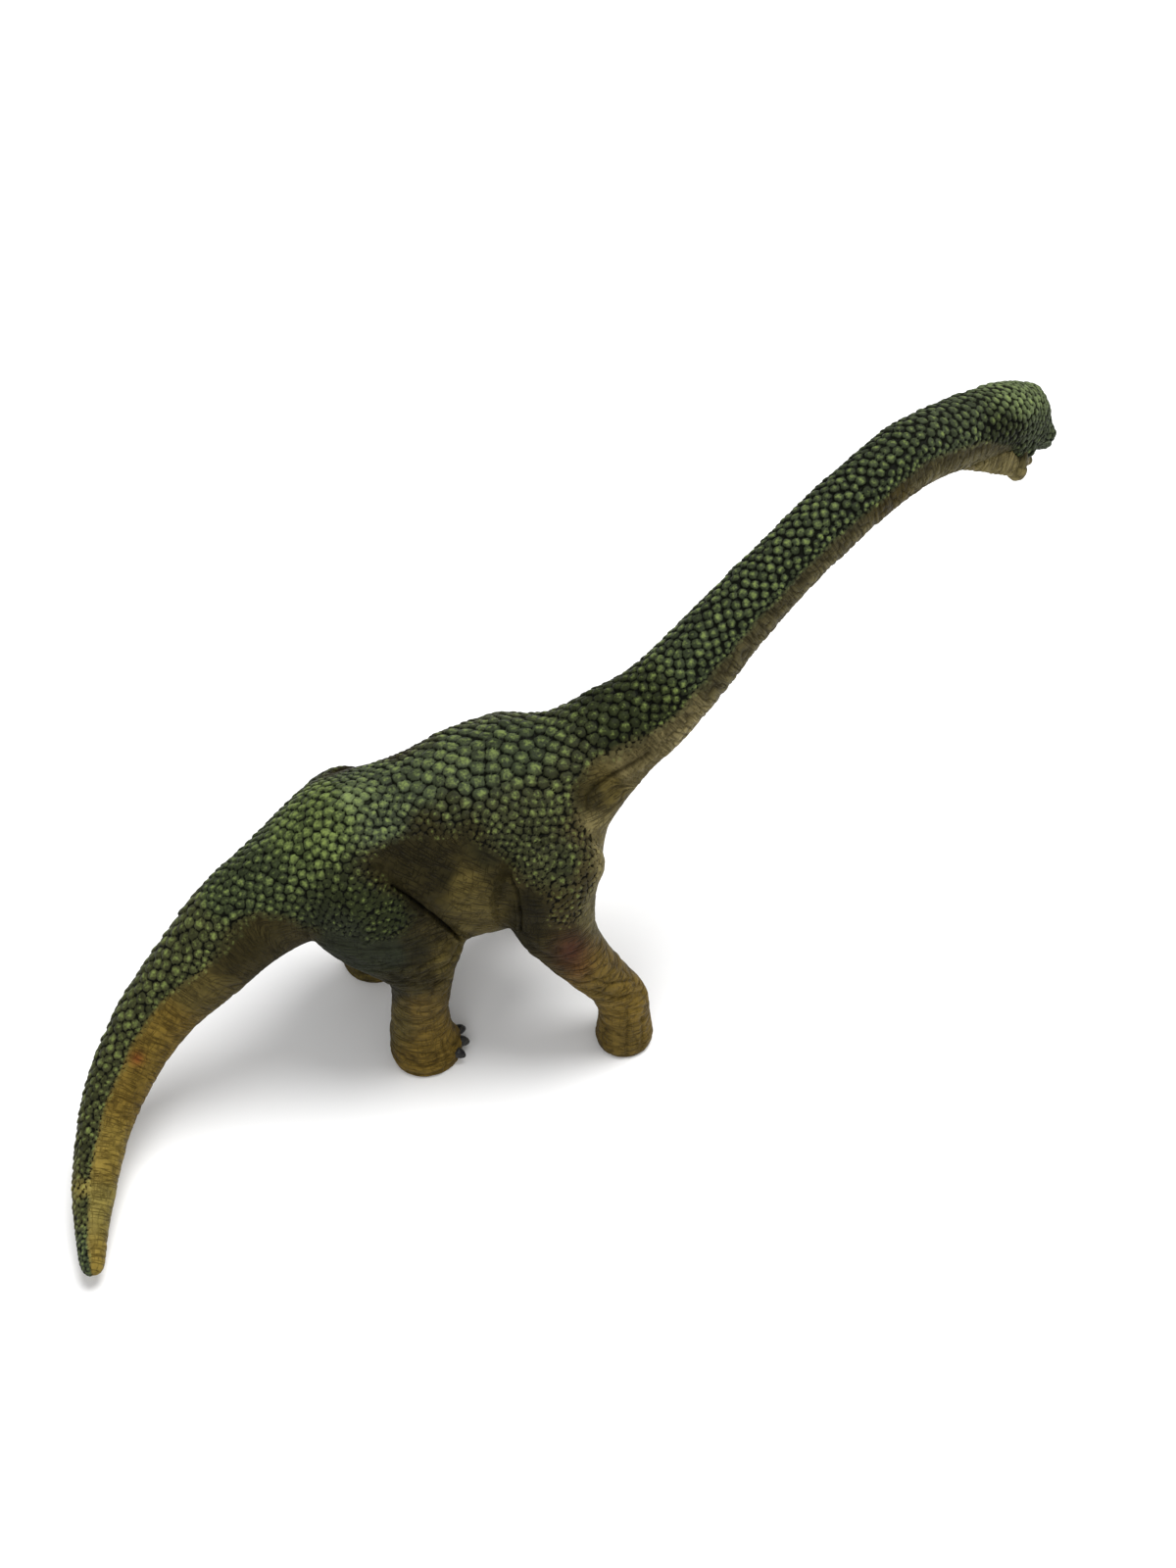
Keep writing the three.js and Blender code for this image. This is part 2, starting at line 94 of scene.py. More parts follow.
# Sections, as in the solids, as shares of the sizes above each table.
# Torso: along, rise, aside, half width, height above and depth below.
TORSO_LENGTH, TORSO_DEPTH, TORSO_WIDTH, TORSO_HEIGHT = 112, 70, 63, 72.5
TORSO = [
    [-0.429, -0.06, -0.06, 0.275, 0.215, 0.31],
    [-0.295, -0.02, -0.02, 0.365, 0.305, 0.43],
    [-0.125, -0.004, 0, 0.435, 0.33, 0.48],
    [0.054, 0.021, 0, 0.475, 0.41, 0.525],
    [0.223, 0.107, 0, 0.455, 0.365, 0.54],
    [0.339, 0.207, 0, 0.35, 0.29, 0.215],
]
# Neck: along, rise, aside, half thickness
NECK_REACH, NECK_RISE, NECK_SWING, NECK_DIAMETER = 130.5, 55.5, 43, 31
NECK = [
    [0, 0, 0, 0.5],
    [0.115, 0.177, 0.02, 0.416],
    [0.31, 0.552, 0.186, 0.337],
    [0.515, 0.885, 0.37, 0.31],
    [0.724, 1.065, 0.63, 0.32],
    [0.88, 1.05, 0.83, 0.335],
    [1, 1, 1, 0.335],
]
# Tail: along, drop, aside, half thickness
TAIL_REACH, TAIL_DROP, TAIL_SWING, TAIL_DIAMETER = 58.4, 54.2, 68.8, 30.4
TAIL = [
    [0, 0, 0, 0.5],
    [0.259, 0.201, 0.068, 0.424],
    [0.452, 0.366, 0.115, 0.365],
    [0.623, 0.53, 0.201, 0.322],
    [0.753, 0.658, 0.321, 0.286],
    [0.848, 0.768, 0.443, 0.253],
    [0.911, 0.85, 0.58, 0.217],
    [0.959, 0.923, 0.724, 0.181],
    [0.99, 0.969, 0.882, 0.141],
    [1, 0.99, 0.98, 0.11],
    [1.003, 1, 1.01, 0.05],
]
# Head and jaw: along, rise, half width, height above and depth below
HEAD_LENGTH, HEAD_WIDTH, HEAD_HEIGHT = 34.5, 21, 22.5
HEAD_PITCH, HEAD_TURN = radians(34), radians(29)
HEAD = [
    [0.2, 0.05, 0.48, 0.5, 0.42],
    [0.43, 0.03, 0.46, 0.52, 0.3],
    [0.65, -0.02, 0.37, 0.34, 0.22],
    [0.84, -0.04, 0.3, 0.22, 0.17],
    [0.97, -0.05, 0.22, 0.16, 0.13],
    [1, -0.055, 0.12, 0.08, 0.07],
]
JAW_OPENING = radians(6)
JAW_HINGE = (0.24, -0.44)
JAW = [
    [-0.06, -0.01, 0.24, 0.1, 0.08],
    [0, -0.01, 0.38, 0.13, 0.14],
    [0.22, 0.06, 0.34, 0.12, 0.15],
    [0.42, 0.14, 0.25, 0.09, 0.13],
    [0.58, 0.18, 0.18, 0.07, 0.1],
    [0.64, 0.19, 0.1, 0.04, 0.05],
]
# Legs: hip in the torso, sizes along and across, angles of the claws, and rows of height, stride
# left, splay left, half size along and half size across
HIND = {
    "hip": [-0.232, 0.294, 0.164], "fore": 43, "across": 24, "claws": [-12, 13, 38],
    "rows": [
        [0, 0, 0, 0.24, 0.42], [0.03, 0, 0, 0.255, 0.44], [0.14, 0.08, 0, 0.222, 0.375],
        [0.28, 0.06, -0.1, 0.202, 0.365], [0.4, -0.04, -0.3, 0.212, 0.39],
        [0.49, 0.02, -0.2, 0.265, 0.43], [0.58, 0.26, 0.3, 0.39, 0.47],
        [0.7, 0.66, 0.8, 0.49, 0.5], [0.82, 0.94, 1, 0.45, 0.46], [0.91, 1, 1, 0.33, 0.35],
        [0.97, 1, 1, 0.2, 0.22], [1, 1, 1, 0.1, 0.11],
    ],
}
FORE = {
    "hip": [0.192, 0.333, 0.25], "fore": 34, "across": 25, "claws": [-50],
    "rows": [
        [0, 0, 0, 0.25, 0.34], [0.028, 0, 0, 0.265, 0.355], [0.133, 0, 0.02, 0.235, 0.32],
        [0.233, 0.08, 0.06, 0.245, 0.33], [0.344, 0.33, 0.12, 0.265, 0.36],
        [0.467, 0.64, 0.22, 0.3, 0.4], [0.6, 0.88, 0.36, 0.35, 0.42],
        [0.722, 0.96, 0.6, 0.44, 0.47], [0.833, 0.96, 0.8, 0.5, 0.5],
        [0.922, 1, 0.95, 0.4, 0.42], [0.978, 1, 1, 0.25, 0.26], [1, 1, 1, 0.1, 0.1],
    ],
}
# Each leg's shape, side, stride and splay
LEGS = {
    "hind_left": (HIND, 1, 3.9, 1.6),
    "hind_right": (HIND, -1, 11, 2),
    "front_left": (FORE, 1, 12.5, 7),
    "front_right": (FORE, -1, 23.3, 10.6),
}
TIP_SEAM, TAIL_SEAM, NECK_SEAM, HEAD_SEAM = 3.4, 10, 17, 23  # rows where the castings meet


def length(vectors):
    return np.linalg.norm(vectors, axis=-1)


def unit(vectors):
    return vectors / length(vectors)[..., None]


def dot(a, b):
    return (a * b).sum(-1)


def bell(x):
    return np.exp(-(x**2))


def blot(photo, centre, reach):
    """1 at a pixel and less round it."""
    return np.exp(-((photo - centre) ** 2).sum(1) / (2 * reach**2))


def ramp(low, high, values):
    """0 below one value and 1 above another, smooth between."""
    t = np.clip((values - low) / (high - low), 0, 1)
    return t * t * (3 - 2 * t)


def torso_place(along, side, rise):
    return np.array([TORSO_LENGTH * along, TORSO_WIDTH * side, TORSO_HEIGHT + TORSO_DEPTH * rise])


def in_frame(at, forward, along, left_by, up_by):
    left = unit(np.cross(UP, forward))
    return at + forward * along + left * left_by + np.cross(forward, left) * up_by


def turned(pitch, turn):
    return np.array([
        cos(pitch) * cos(turn), cos(pitch) * sin(turn), -sin(pitch)
    ])


def round_rows(root, size, diameter, table):
    return np.array([
        [*(root + size * [a, s, r]), *[diameter * h] * 3] for a, r, s, h in table
    ])


def head_sections(at, forward, table):
    return np.array([
        [*in_frame(at, forward, HEAD_LENGTH * a, 0, HEAD_HEIGHT * r),
         HEAD_WIDTH * w, HEAD_HEIGHT * u, HEAD_HEIGHT * d]
        for a, r, w, u, d in table
    ])


tail_root, neck_root = torso_place(-0.554, -0.111, -0.171), torso_place(0.446, 0.016, 0.343)
tail_size = -np.array([TAIL_REACH, TAIL_SWING, TAIL_DROP])
neck_size = np.array([NECK_REACH, NECK_SWING, NECK_RISE])
torso_rows = [
    [*torso_place(a, s, r), TORSO_WIDTH * w, TORSO_DEPTH * u, TORSO_DEPTH * d]
    for a, r, s, w, u, d in TORSO
]
neck_rows = round_rows(neck_root, neck_size, NECK_DIAMETER, NECK)
head_at = neck_rows[-1, :3]
head_forward = turned(HEAD_PITCH, HEAD_TURN)
head_left = unit(np.cross(UP, head_forward))
# Rows from the tail's tip to the nose: middle, half width, height above and depth below
trunk_rows = np.vstack([
    round_rows(tail_root, tail_size, TAIL_DIAMETER, TAIL)[::-1], torso_rows, neck_rows,
    head_sections(head_at, head_forward, HEAD),
])
trunk_rows[:, :3] += SHIFT


def head_place(along, side, up):
    return in_frame(
        head_at, head_forward, HEAD_LENGTH * along, HEAD_WIDTH * side, HEAD_HEIGHT * up
    ) + SHIFT


def both_sides(along, side, up):
    """A place on the head's right and on its left."""
    return [head_place(along, sign * side, up) for sign in (-1, 1)]


jaw_at = head_place(JAW_HINGE[0], 0, JAW_HINGE[1])
jaw_rows = head_sections(jaw_at, turned(HEAD_PITCH + JAW_OPENING, HEAD_TURN), JAW)


def leg_rows(leg, side, stride, splay):
    hip_x, hip_y, hip_z = torso_place(*leg["hip"])
    rows = np.array([
        [hip_x + stride * (1 - t), side * (hip_y + splay * (1 - i)), hip_z * h,
         leg["fore"] * f, leg["across"] * a]
        for h, t, i, f, a in leg["rows"]
    ])
    rows[:, :3] += SHIFT
    return rows


leg_tables = {name: leg_rows(*leg) for name, leg in LEGS.items()}


def through(rows, at):
    """Smooth values between rows, at fractions of their index."""
    rows = np.asarray(rows, float)
    at = np.clip(np.atleast_1d(at), 0, len(rows) - 1)
    low = np.minimum(at.astype(int), len(rows) - 2)
    t = (at - low)[:, None]
    slope = np.gradient(rows, axis=0)
    return (
        (2 * t**3 - 3 * t**2 + 1) * rows[low] + (t**3 - 2 * t**2 + t) * slope[low]
        + (3 * t**2 - 2 * t**3) * rows[low + 1] + (t**3 - t**2) * slope[low + 1]
    )


def run_along(line):
    return np.r_[0, np.cumsum(length(np.diff(line, axis=0)))]


def even_places(rows, step):
    """Fractions of the rows' index at even steps along the body."""
    fine = np.linspace(0, len(rows) - 1, 40 * len(rows))
    centres = through(rows, fine)[:, :3]
    run = run_along(centres)
    return np.interp(np.linspace(0, run[-1], int(run[-1] / step)), run, fine)


def axes(rows, at):
    forward = unit(through(rows, at + 0.02)[:, :3] - through(rows, at - 0.02)[:, :3])
    left = unit(np.cross(UP, forward))
    return forward, left, np.cross(forward, left)


def circle(sides):
    angle = np.arange(sides) / sides * 2 * np.pi
    return np.cos(angle), np.sin(angle)


def rings_of(rows, at, sides):
    """Rings of a body whose sections stand across its line."""
    value = through(rows, at)
    _, left, up = axes(rows, at)
    cosine, sine = circle(sides)
    aside = value[:, 3:4] * cosine
    height = np.where(sine > 0, value[:, 4:5], value[:, 5:6]) * sine
    return value[:, None, :3] + left[:, None] * aside[..., None] + up[:, None] * height[..., None]


def level_rings(rows, at, sides):
    """Rings of a body whose sections lie level."""
    value = through(rows, at)
    cosine, sine = circle(sides)
    rings = np.repeat(value[:, None, :3], sides, axis=1)
    rings[..., 0] += value[:, 3:4] * cosine
    rings[..., 1] += value[:, 4:5] * sine
    return rings


def closed(rings):
    """Points and faces of a skin over rings, with its ends closed."""
    points = np.vstack([rings.reshape(-1, 3), rings[0].mean(0), rings[-1].mean(0)])
    first, last = len(points) - 2, len(points) - 1
    here = np.arange(first).reshape(rings.shape[:2])
    beside = np.roll(here, -1, axis=1)
    quads = np.stack([here[:-1], beside[:-1], beside[1:], here[1:]], axis=-1).reshape(-1, 4)
    ends = [(first, b, a) for a, b in zip(here[0], beside[0])]
    ends += [(last, a, b) for a, b in zip(here[-1], beside[-1])]
    return points, quads.tolist() + ends


def ball_rings(centre, radius, sides=32):
    turn = np.linspace(0.05, np.pi - 0.05, sides // 2)
    cosine, sine = circle(sides)
    across, level = np.sin(turn), -np.cos(turn)
    rings = [np.outer(across, cosine), np.outer(across, sine), np.outer(level, np.ones(sides))]
    return np.stack(rings, axis=-1) * radius + centre


BEADS = 12


def strand(start, end, first, last, sag=0.0):
    """Balls along a line, from one radius to another, hanging lower in the middle."""
    for t in np.linspace(0, 1, BEADS):
        centre = start + t * (end - start) - UP * (4 * sag * t * (1 - t))
        yield ball_rings(centre, first + t * (last - first))


def placed(name, data):
    """A new object in the scene."""
    made = bpy.data.objects.new(name, data)
    scene.collection.objects.link(made)
    return made


def mesh_from(name, points, faces):
    mesh = bpy.data.meshes.new(name)
    mesh.from_pydata(np.asarray(points).tolist(), [], faces)
    return mesh


def with_modifier(mesh, kind, **settings):
    """The mesh as a modifier leaves it. A copy, with its attributes."""
    body = placed("shaping", mesh)
    modifier = body.modifiers.new("shaping", kind)
    for key, value in settings.items():
        setattr(modifier, key, value)
    shaped = body.evaluated_get(bpy.context.evaluated_depsgraph_get())
    made = bpy.data.meshes.new_from_object(shaped)
    bpy.data.objects.remove(body)
    return made


def array_of(collection, key, width, kind=np.float32):
    out = np.empty(len(collection) * width, kind)
    collection.foreach_get(key, out)
    return out.reshape(-1, width) if width > 1 else out


def parts_of(mesh):
    """A mesh's points, four-sided faces and edges."""
    points = array_of(mesh.vertices, "co", 3).astype(float)
    corners = array_of(mesh.loops, "vertex_index", 1, np.int32)
    return points, corners.reshape(-1, 4), array_of(mesh.edges, "vertices", 2, np.int32)


def sides_of(quads):
    return quads.ravel(), np.roll(quads, -1, axis=1).ravel()


def normals_of(points, quads):
    across = points[quads[:, 2]] - points[quads[:, 0]]
    along = points[quads[:, 3]] - points[quads[:, 1]]
    face = np.cross(across, along)
    total = np.zeros_like(points)
    for corner in range(4):
        for axis in range(3):
            total[:, axis] += np.bincount(quads[:, corner], face[:, axis], len(points))
    return unit(total + 1e-12)


def lifted(points, normals, lift):
    """Points moved along their normals, none below the floor."""
    points = points + normals * lift[:, None]
    points[:, 2] = np.maximum(points[:, 2], 0)
    return points


def spread(values, edges, rounds, weight=0.5):
    """Values averaged with their neighbours along the edges."""
    values = np.asarray(values, float)
    flat = values.reshape(len(values), -1).copy()
    a, b = edges[:, 0], edges[:, 1]
    count = np.bincount(edges.ravel(), minlength=len(values))[:, None]
    weight = np.broadcast_to(np.asarray(weight, float).reshape(-1, 1), (len(values), 1))
    for _ in range(rounds):
        total = np.stack([
            np.bincount(a, flat[b, k], len(flat)) + np.bincount(b, flat[a, k], len(flat))
            for k in range(flat.shape[1])
        ], axis=1)
        flat += weight * (total / count - flat)
    return flat.reshape(values.shape)


def hashed(cells, seed):
    """A value from 0 to 1 for each cell of space, always the same."""
    x, y, z = (cells[..., k].astype(np.uint32) for k in range(3))
    mixed = x * np.uint32(374761393) + y * np.uint32(668265263) + z * np.uint32(2147483647)
    mixed = mixed + np.uint32(seed * 7919)
    mixed = (mixed ^ (mixed >> np.uint32(13))) * np.uint32(1274126177)
    return ((mixed ^ (mixed >> np.uint32(16))) & np.uint32(0xFFFFFF)) / float(0xFFFFFF)


def noise(points, seed):
    """Smooth values from 0 to 1 that change over a length of one."""
    base = np.floor(points)
    t = points - base
    t = t * t * (3 - 2 * t)
    base = base.astype(np.int64)
    total = np.zeros(len(points))
    for corner in range(8):
        offset = np.array([corner & 1, corner >> 1 & 1, corner >> 2 & 1])
        weight = np.prod(np.where(offset == 1, t, 1 - t), axis=1)
        total += weight * hashed(base + offset, seed)
    return total


def bumps(points, size, height, seed):
    """Uneven heights round zero."""
    return height * (noise(points / size, seed) - 0.5)


def ridges(points, seed):
    """1 along winding lines of the noise and less beside them."""
    return 1 - np.abs(2 * noise(points, seed) - 1)


def groups_of(cells, count):
    """For each point, the lowest number among the points that faces or edges join it to."""
    group = np.arange(count)
    while True:
        lowest = group[cells].min(1)
        new = group.copy()
        for corner in cells.T:
            np.minimum.at(new, corner, lowest)
        new = new[new]
        if np.array_equal(new, group):
            return group
        group = new


def outermost(points, quads, edges):
    """The largest connected part."""
    group = groups_of(edges, len(points))
    keep = group == np.bincount(group).argmax()
    renumber = np.cumsum(keep) - 1
    return points[keep], renumber[quads[keep[quads[:, 0]]]], renumber[edges[keep[edges[:, 0]]]]


# The plain skin
SIDES, RING_STEP = 96, 1.5  # points of a ring, and millimetres between rings
trunk_at = even_places(trunk_rows, RING_STEP)
# Rings, the row of each ring, and a label: the number of the leg, or 0 for the trunk
bodies = [(rings_of(trunk_rows, trunk_at, SIDES), trunk_at, 0)]
for number, rows in enumerate(leg_tables.values(), 1):
    at = even_places(rows, RING_STEP)
    bodies.append((level_rings(rows, at, SIDES), at, number))

# Lumps of the head: along, sideways and up as shares of its size, and radius in millimetres
HEAD_LUMPS = {
    "crown": (0.4, 0.04, 0.49, 2.8), "nape": (0.28, 0.14, 0.4, 3.4), "brow": (0.34, 0.33, 0.34, 1.9),
    "cheek": (0.16, 0.32, -0.2, 3.9), "jowl": (0.36, 0.34, -0.2, 3.3),
    "eye corner": (0.59, 0.37, 0.08, 3.2), "nose": (0.74, 0.06, 0.14, 3.4),
    "muzzle": (0.88, 0.11, -0.01, 3.2),
}
HEAD_ROW = 24.6  # the lumps count as this row of sections
for along, side, up, radius in HEAD_LUMPS.values():
    for centre in both_sides(along, side, up):
        rings = ball_rings(centre, radius)
        bodies.append((rings, np.full(len(rings), HEAD_ROW), 0))


def fused(shapes, voxel):
    """Points, four-sided faces and edges of the skin round overlapping closed shapes."""
    all_points, all_faces, offset = [], [], 0
    for rings in shapes:
        points, faces = closed(rings)
        all_points.append(points)
        all_faces += [tuple(int(v) + offset for v in face) for face in faces]
        offset += len(points)
    rough = mesh_from("rough", np.vstack(all_points), all_faces)
    skin = with_modifier(rough, "REMESH", mode="VOXEL", voxel_size=voxel, adaptivity=0.0)
    return outermost(*parts_of(skin))


points, quads, edges = fused([rings for rings, _, _ in bodies], VOXEL)
# Points of the rings: place, row and label
known = np.vstack([
    np.c_[rings.reshape(-1, 3), np.repeat(at, rings.shape[1]), np.full(rings[..., 0].size, label)]
    for rings, at, label in bodies
])


def tree_of(cloud):
    tree = KDTree(len(cloud))
    for number, point in enumerate(cloud.tolist()):
        tree.insert(point, number)
    tree.balance()
    return tree


def nearest(cloud, wanted):
    tree = tree_of(cloud)
    return np.array([tree.find(point)[1] for point in wanted.tolist()])


SOLE_HEIGHT = 0.5
near_row, label = known[nearest(known[:, :3], points), 3:].T
sole = points[:, 2] < SOLE_HEIGHT

# Smoothed all over, more where a leg joins the trunk, and again on the head
junction = np.zeros(len(points))
junction[edges[label[edges[:, 0]] != label[edges[:, 1]]]] = 1
junction = np.clip(spread(junction, edges, 12, 0.6) * 3, 0, 1)
on_head = ramp(23.2, 24.2, near_row)
for rounds, weight in ((10, 0.5), (30, 0.5 * junction), (5, 0.5 * on_head)):
    points = spread(points, edges, rounds, weight)
points[sole, 2] = 0
points[:, 2] = np.maximum(points[:, 2], 0)

# Unbent places: run along the trunk, sideways and upwards from its centre line
LINE_STEP = 0.6
line_at = even_places(trunk_rows, LINE_STEP)
line = through(trunk_rows, line_at)[:, :3]
near_line = line_at[nearest(line, points)]
at = spread(np.where(label == 0, near_row, near_line), edges, 6)
run_of = run_along(line)
leg_weight = spread(label > 0, edges, 3)


def reference(points, normals, at, label):
    """Each point and normal as carried to the side that the photograph shows."""
    centre = through(trunk_rows, at)[:, :3]
    forward, left, up = axes(trunk_rows, at)
    off = points - centre
    lateral, vertical = dot(off, left), dot(off, up)
    flip = np.where(lateral > 0, -1.0, 1.0)
    place = centre + forward * dot(off, forward)[:, None]
    place += left * (lateral * flip)[:, None] + up * vertical[:, None]
    side = dot(normals, left) * (flip - 1)
    facing = normals + left * side[:, None]
    for number, name in enumerate(LEGS, 1):
        mine = label == number
        place[mine], facing[mine] = points[mine], normals[mine]
        if name.endswith("left"):
            rows, other = leg_tables[name], leg_tables[name.replace("left", "right")]
            height = points[mine, 2]
            for axis, sign in ((0, 1), (1, -1)):
                own = np.interp(height, rows[:, 2], rows[:, axis])
                wanted = np.interp(height, other[:, 2], other[:, axis])
                place[mine, axis] = wanted + sign * (points[mine, axis] - own)
            facing[mine, 1] *= -1
    return place, facing, lateral, vertical


normals = normals_of(points, quads)
place, facing_normal, lateral, vertical = reference(points, normals, at, label)
photo = to_photo(place)
outward = dot(facing_normal, unit(EYE - place))
seen = ramp(-0.05, 0.3, outward)


def to_segments(photo, path):
    """Distance in pixels to a line through points."""
    best = np.full(len(photo), np.inf)
    for a, b in zip(path[:-1], path[1:]):
        a, b = np.array(a, float), np.array(b, float)
        t = np.clip(((photo - a) @ (b - a)) / ((b - a) @ (b - a)), 0, 1)
        best = np.minimum(best, length(photo - a - t[:, None] * (b - a)))
    return best


def inside(photo, outline):
    """Distance in pixels to an outline, negative outside it."""
    path = [*outline, outline[0]]
    within = np.zeros(len(photo), bool)
    for (ax, ay), (bx, by) in zip(path[:-1], path[1:]):
        if ay == by:
            continue
        spans = (ay > photo[:, 1]) != (by > photo[:, 1])
        crossing = ax + (photo[:, 1] - ay) * (bx - ax) / (by - ay)
        within ^= spans & (photo[:, 0] < crossing)
    return to_segments(photo, path) * np.where(within, 1, -1)


# Bulges and hollows: place and reach in the photograph's pixels, height in millimetres
SWELLS = [
    (352, 800, 22, 1.2), (520, 745, 20, 1.0), (365, 900, 34, 1.4), (312, 925, 16, 0.5),
    (455, 975, 12, 1.0), (560, 850, 34, 1.1), (612, 880, 13, 1.4), (570, 920, 17, 0.7),
    (545, 965, 12, 0.8), (655, 1020, 12, 0.5), (440, 885, 28, -1.6), (485, 885, 20, -1.0),
    (524, 915, 9, -1.2), (601, 806, 8, -0.9), (440, 775, 40, -0.7),
]
# Folds: line in pixels, depth in millimetres, half width in pixels
FOLDS = [
    ([(400, 904), (416, 915), (432, 927), (449, 940), (462, 951), (469, 958)], 1.2, 1.5),
    ([(404, 897), (425, 914), (447, 931)], 0.25, 2.5),
    ([(520, 893), (526, 910), (531, 932), (531, 948)], 0.7, 1.5),
    ([(440, 922), (470, 911), (500, 900), (522, 892)], 0.3, 3),
    ([(450, 903), (480, 893), (508, 884)], 0.2, 3),
    ([(455, 948), (490, 938), (522, 925)], 0.2, 3),
    ([(601, 826), (604, 812), (616, 799), (640, 784), (662, 770)], 0.7, 2.8),
    ([(606, 828), (625, 812), (650, 795), (675, 775)], 0.35, 3.5),
    ([(660, 757), (700, 715), (740, 672)], 0.3, 3.5),
    ([(459, 953), (450, 972), (428, 988)], 0.5, 2),
    ([(468, 963), (457, 983), (432, 998)], 0.5, 2),
    ([(398, 994), (428, 1006), (463, 1000)], 0.4, 2),
    ([(398, 1013), (430, 1022), (462, 1013)], 0.25, 2),
    ([(320, 965), (350, 980), (385, 990)], 0.3, 3),
    ([(533, 950), (545, 965), (562, 977), (590, 987)], 0.45, 2.5),
    ([(598, 996), (620, 1004), (646, 1000)], 0.45, 1.8),
    ([(604, 1011), (628, 1018), (655, 1012)], 0.45, 1.8),
    ([(608, 1027), (632, 1033), (660, 1026)], 0.35, 1.8),
    ([(641, 1040), (639, 1060), (640, 1076)], 0.4, 1.7),
    ([(655, 1038), (656, 1052), (655, 1068)], 0.35, 1.7),
    ([(452, 1062), (457, 1080), (454, 1096)], 0.45, 1.7),
]
# How much lower the top line is than the solids' at each row of sections, in millimetres
ROW = np.arange(30)
LOWERED = np.array([0] * 11 + [0.5, 0.6, 0.8, 1.8, 2.0, 1.7, 1.3, 0.9, 0.4] + [0] * 10, float)
lift = np.zeros(len(points))
for x, y, reach, height in SWELLS:
    lift += height * blot(photo, (x, y), reach)
lift *= seen
lift -= np.interp(at, ROW, LOWERED) * ramp(-0.1, 0.7, normals[:, 2]) * (1 - leg_weight)
lift += bumps(points, 11, 0.5, 3) + bumps(points, 4, 0.25, 4)
lift[sole] = 0
points = lifted(points, normals, lift)

# Where the scales are: on torso and legs inside an outline in pixels, and on tail, neck and head
# up to an angle from the top line, which TWIST turns, in degrees at each row of sections
OUTLINE = [
    (98, 1320), (102, 1288), (97, 1259), (97, 1230), (102, 1204), (107, 1171), (115, 1132),
    (125, 1100), (138, 1077), (152, 1051), (170, 1018), (186, 997), (206, 979), (222, 963),
    (242, 945), (268, 936), (290, 938), (312, 948), (340, 956), (372, 965), (398, 960),
    (418, 950), (424, 932), (412, 915), (396, 902), (381, 888), (376, 876), (390, 865),
    (412, 857), (439, 852), (466, 856), (492, 867), (512, 877), (523, 889), (536, 902),
    (552, 917), (558, 937), (572, 948), (592, 940), (600, 922), (607, 899), (610, 872),
    (606, 852), (597, 836), (590, 819), (590, 804), (604, 786), (621, 773), (640, 762),
    (658, 743), (681, 720), (704, 703), (724, 686), (751, 663), (774, 636), (805, 606),
    (836, 576), (866, 545), (893, 518), (917, 499), (943, 480), (970, 463), (1000, 456),
    (1027, 462), (1046, 459), (1100, 440), (1100, 370), (960, 370), (820, 440), (690, 570),
    (620, 650), (440, 710), (320, 760), (200, 850), (120, 940), (60, 1050), (30, 1180),
    (30, 1330),
]
HALF_ANGLE = np.array(
    [66] * 10 + [64, 60, 56, 50, 56, 66, 74, 75, 72, 70, 69, 68, 80, 125, 185] + [190] * 5, float
)
TWIST = np.array([70, 70, 70, 66, 60, 54, 46, 38, 28, 18, 10] + [0] * 19, float)
# Spacing of the scales at each row of sections, in millimetres
SPACING = np.array(
    [1.3, 1.5, 1.7, 2.0, 2.2, 2.6, 2.9, 3.3, 3.6, 3.7, 3.6, 3.7, 4.1, 4.6, 4.7, 4.5, 4.1, 3.6,
     3.2, 3.0, 3.0, 3.2, 3.2, 2.6, 2.1, 1.9, 1.8, 1.7, 1.7, 1.7]
)
# Spacing of the scales over hips and shoulders: pixel, millimetres
SPACING_PLACES = np.array([
    (300, 850, 3.4), (345, 870, 2.9), (365, 920, 2.3), (345, 945, 1.8), (400, 940, 1.6),
    (410, 900, 1.9), (385, 870, 2.1), (330, 820, 3.6), (430, 795, 4.5), (420, 835, 2.7),
    (480, 800, 4.6), (480, 848, 2.0), (540, 775, 4.7), (520, 830, 2.8), (510, 862, 1.8),
    (560, 830, 2.7), (530, 880, 1.9), (570, 870, 2.5), (590, 850, 2.3), (580, 900, 2.6),
    (565, 930, 2.0), (600, 890, 2.2), (600, 800, 2.8), (575, 780, 4.1), (610, 750, 3.5),
    (590, 940, 1.5), (640, 740, 3.1), (650, 700, 3.5), (270, 900, 3.0), (240, 930, 2.6),
])


def from_places(photo, places):
    """Values at pixels, drawn from those at the pixels of a table, the nearest most."""
    far = ((photo[:, None, :] - places[None, :, :2]) ** 2).sum(-1) + 4
    weight = far**-2.0
    return (weight @ places[:, 2:]) / weight.sum(1, keepdims=True)


turn = np.degrees(np.arctan2(-lateral, vertical))
turn = (turn + np.interp(at, ROW, TWIST) + 180) % 360 - 180
half = np.interp(at, ROW, HALF_ANGLE) + bumps(points, 5, 8, 5)
depth_in = half - np.abs(turn)
by_turn = ramp(-8, 8, depth_in)
from_edge = inside(photo, OUTLINE) + bumps(points, 4, 8, 6)
by_photo = ramp(-6, 12, from_edge)
by_photo *= 1 - ramp(115, 140, np.abs(turn)) * (1 - leg_weight)
torso_share = ramp(9.2, 10.4, at) * (1 - ramp(16.6, 17.8, at))
torso_share = np.maximum(torso_share, leg_weight)
outer_side = np.ones(len(points))
for number, (name, rows) in enumerate(leg_tables.items(), 1):
    mine = label == number
    sign = LEGS[name][1]
    across = sign * (points[mine, 1] - np.interp(points[mine, 2], rows[:, 2], rows[:, 1]))
    width = np.interp(points[mine, 2], rows[:, 2], rows[:, 4])
    outer_side[mine] = ramp(-0.45, 0.15, across / width)
outer_side = spread(outer_side, edges, 6)
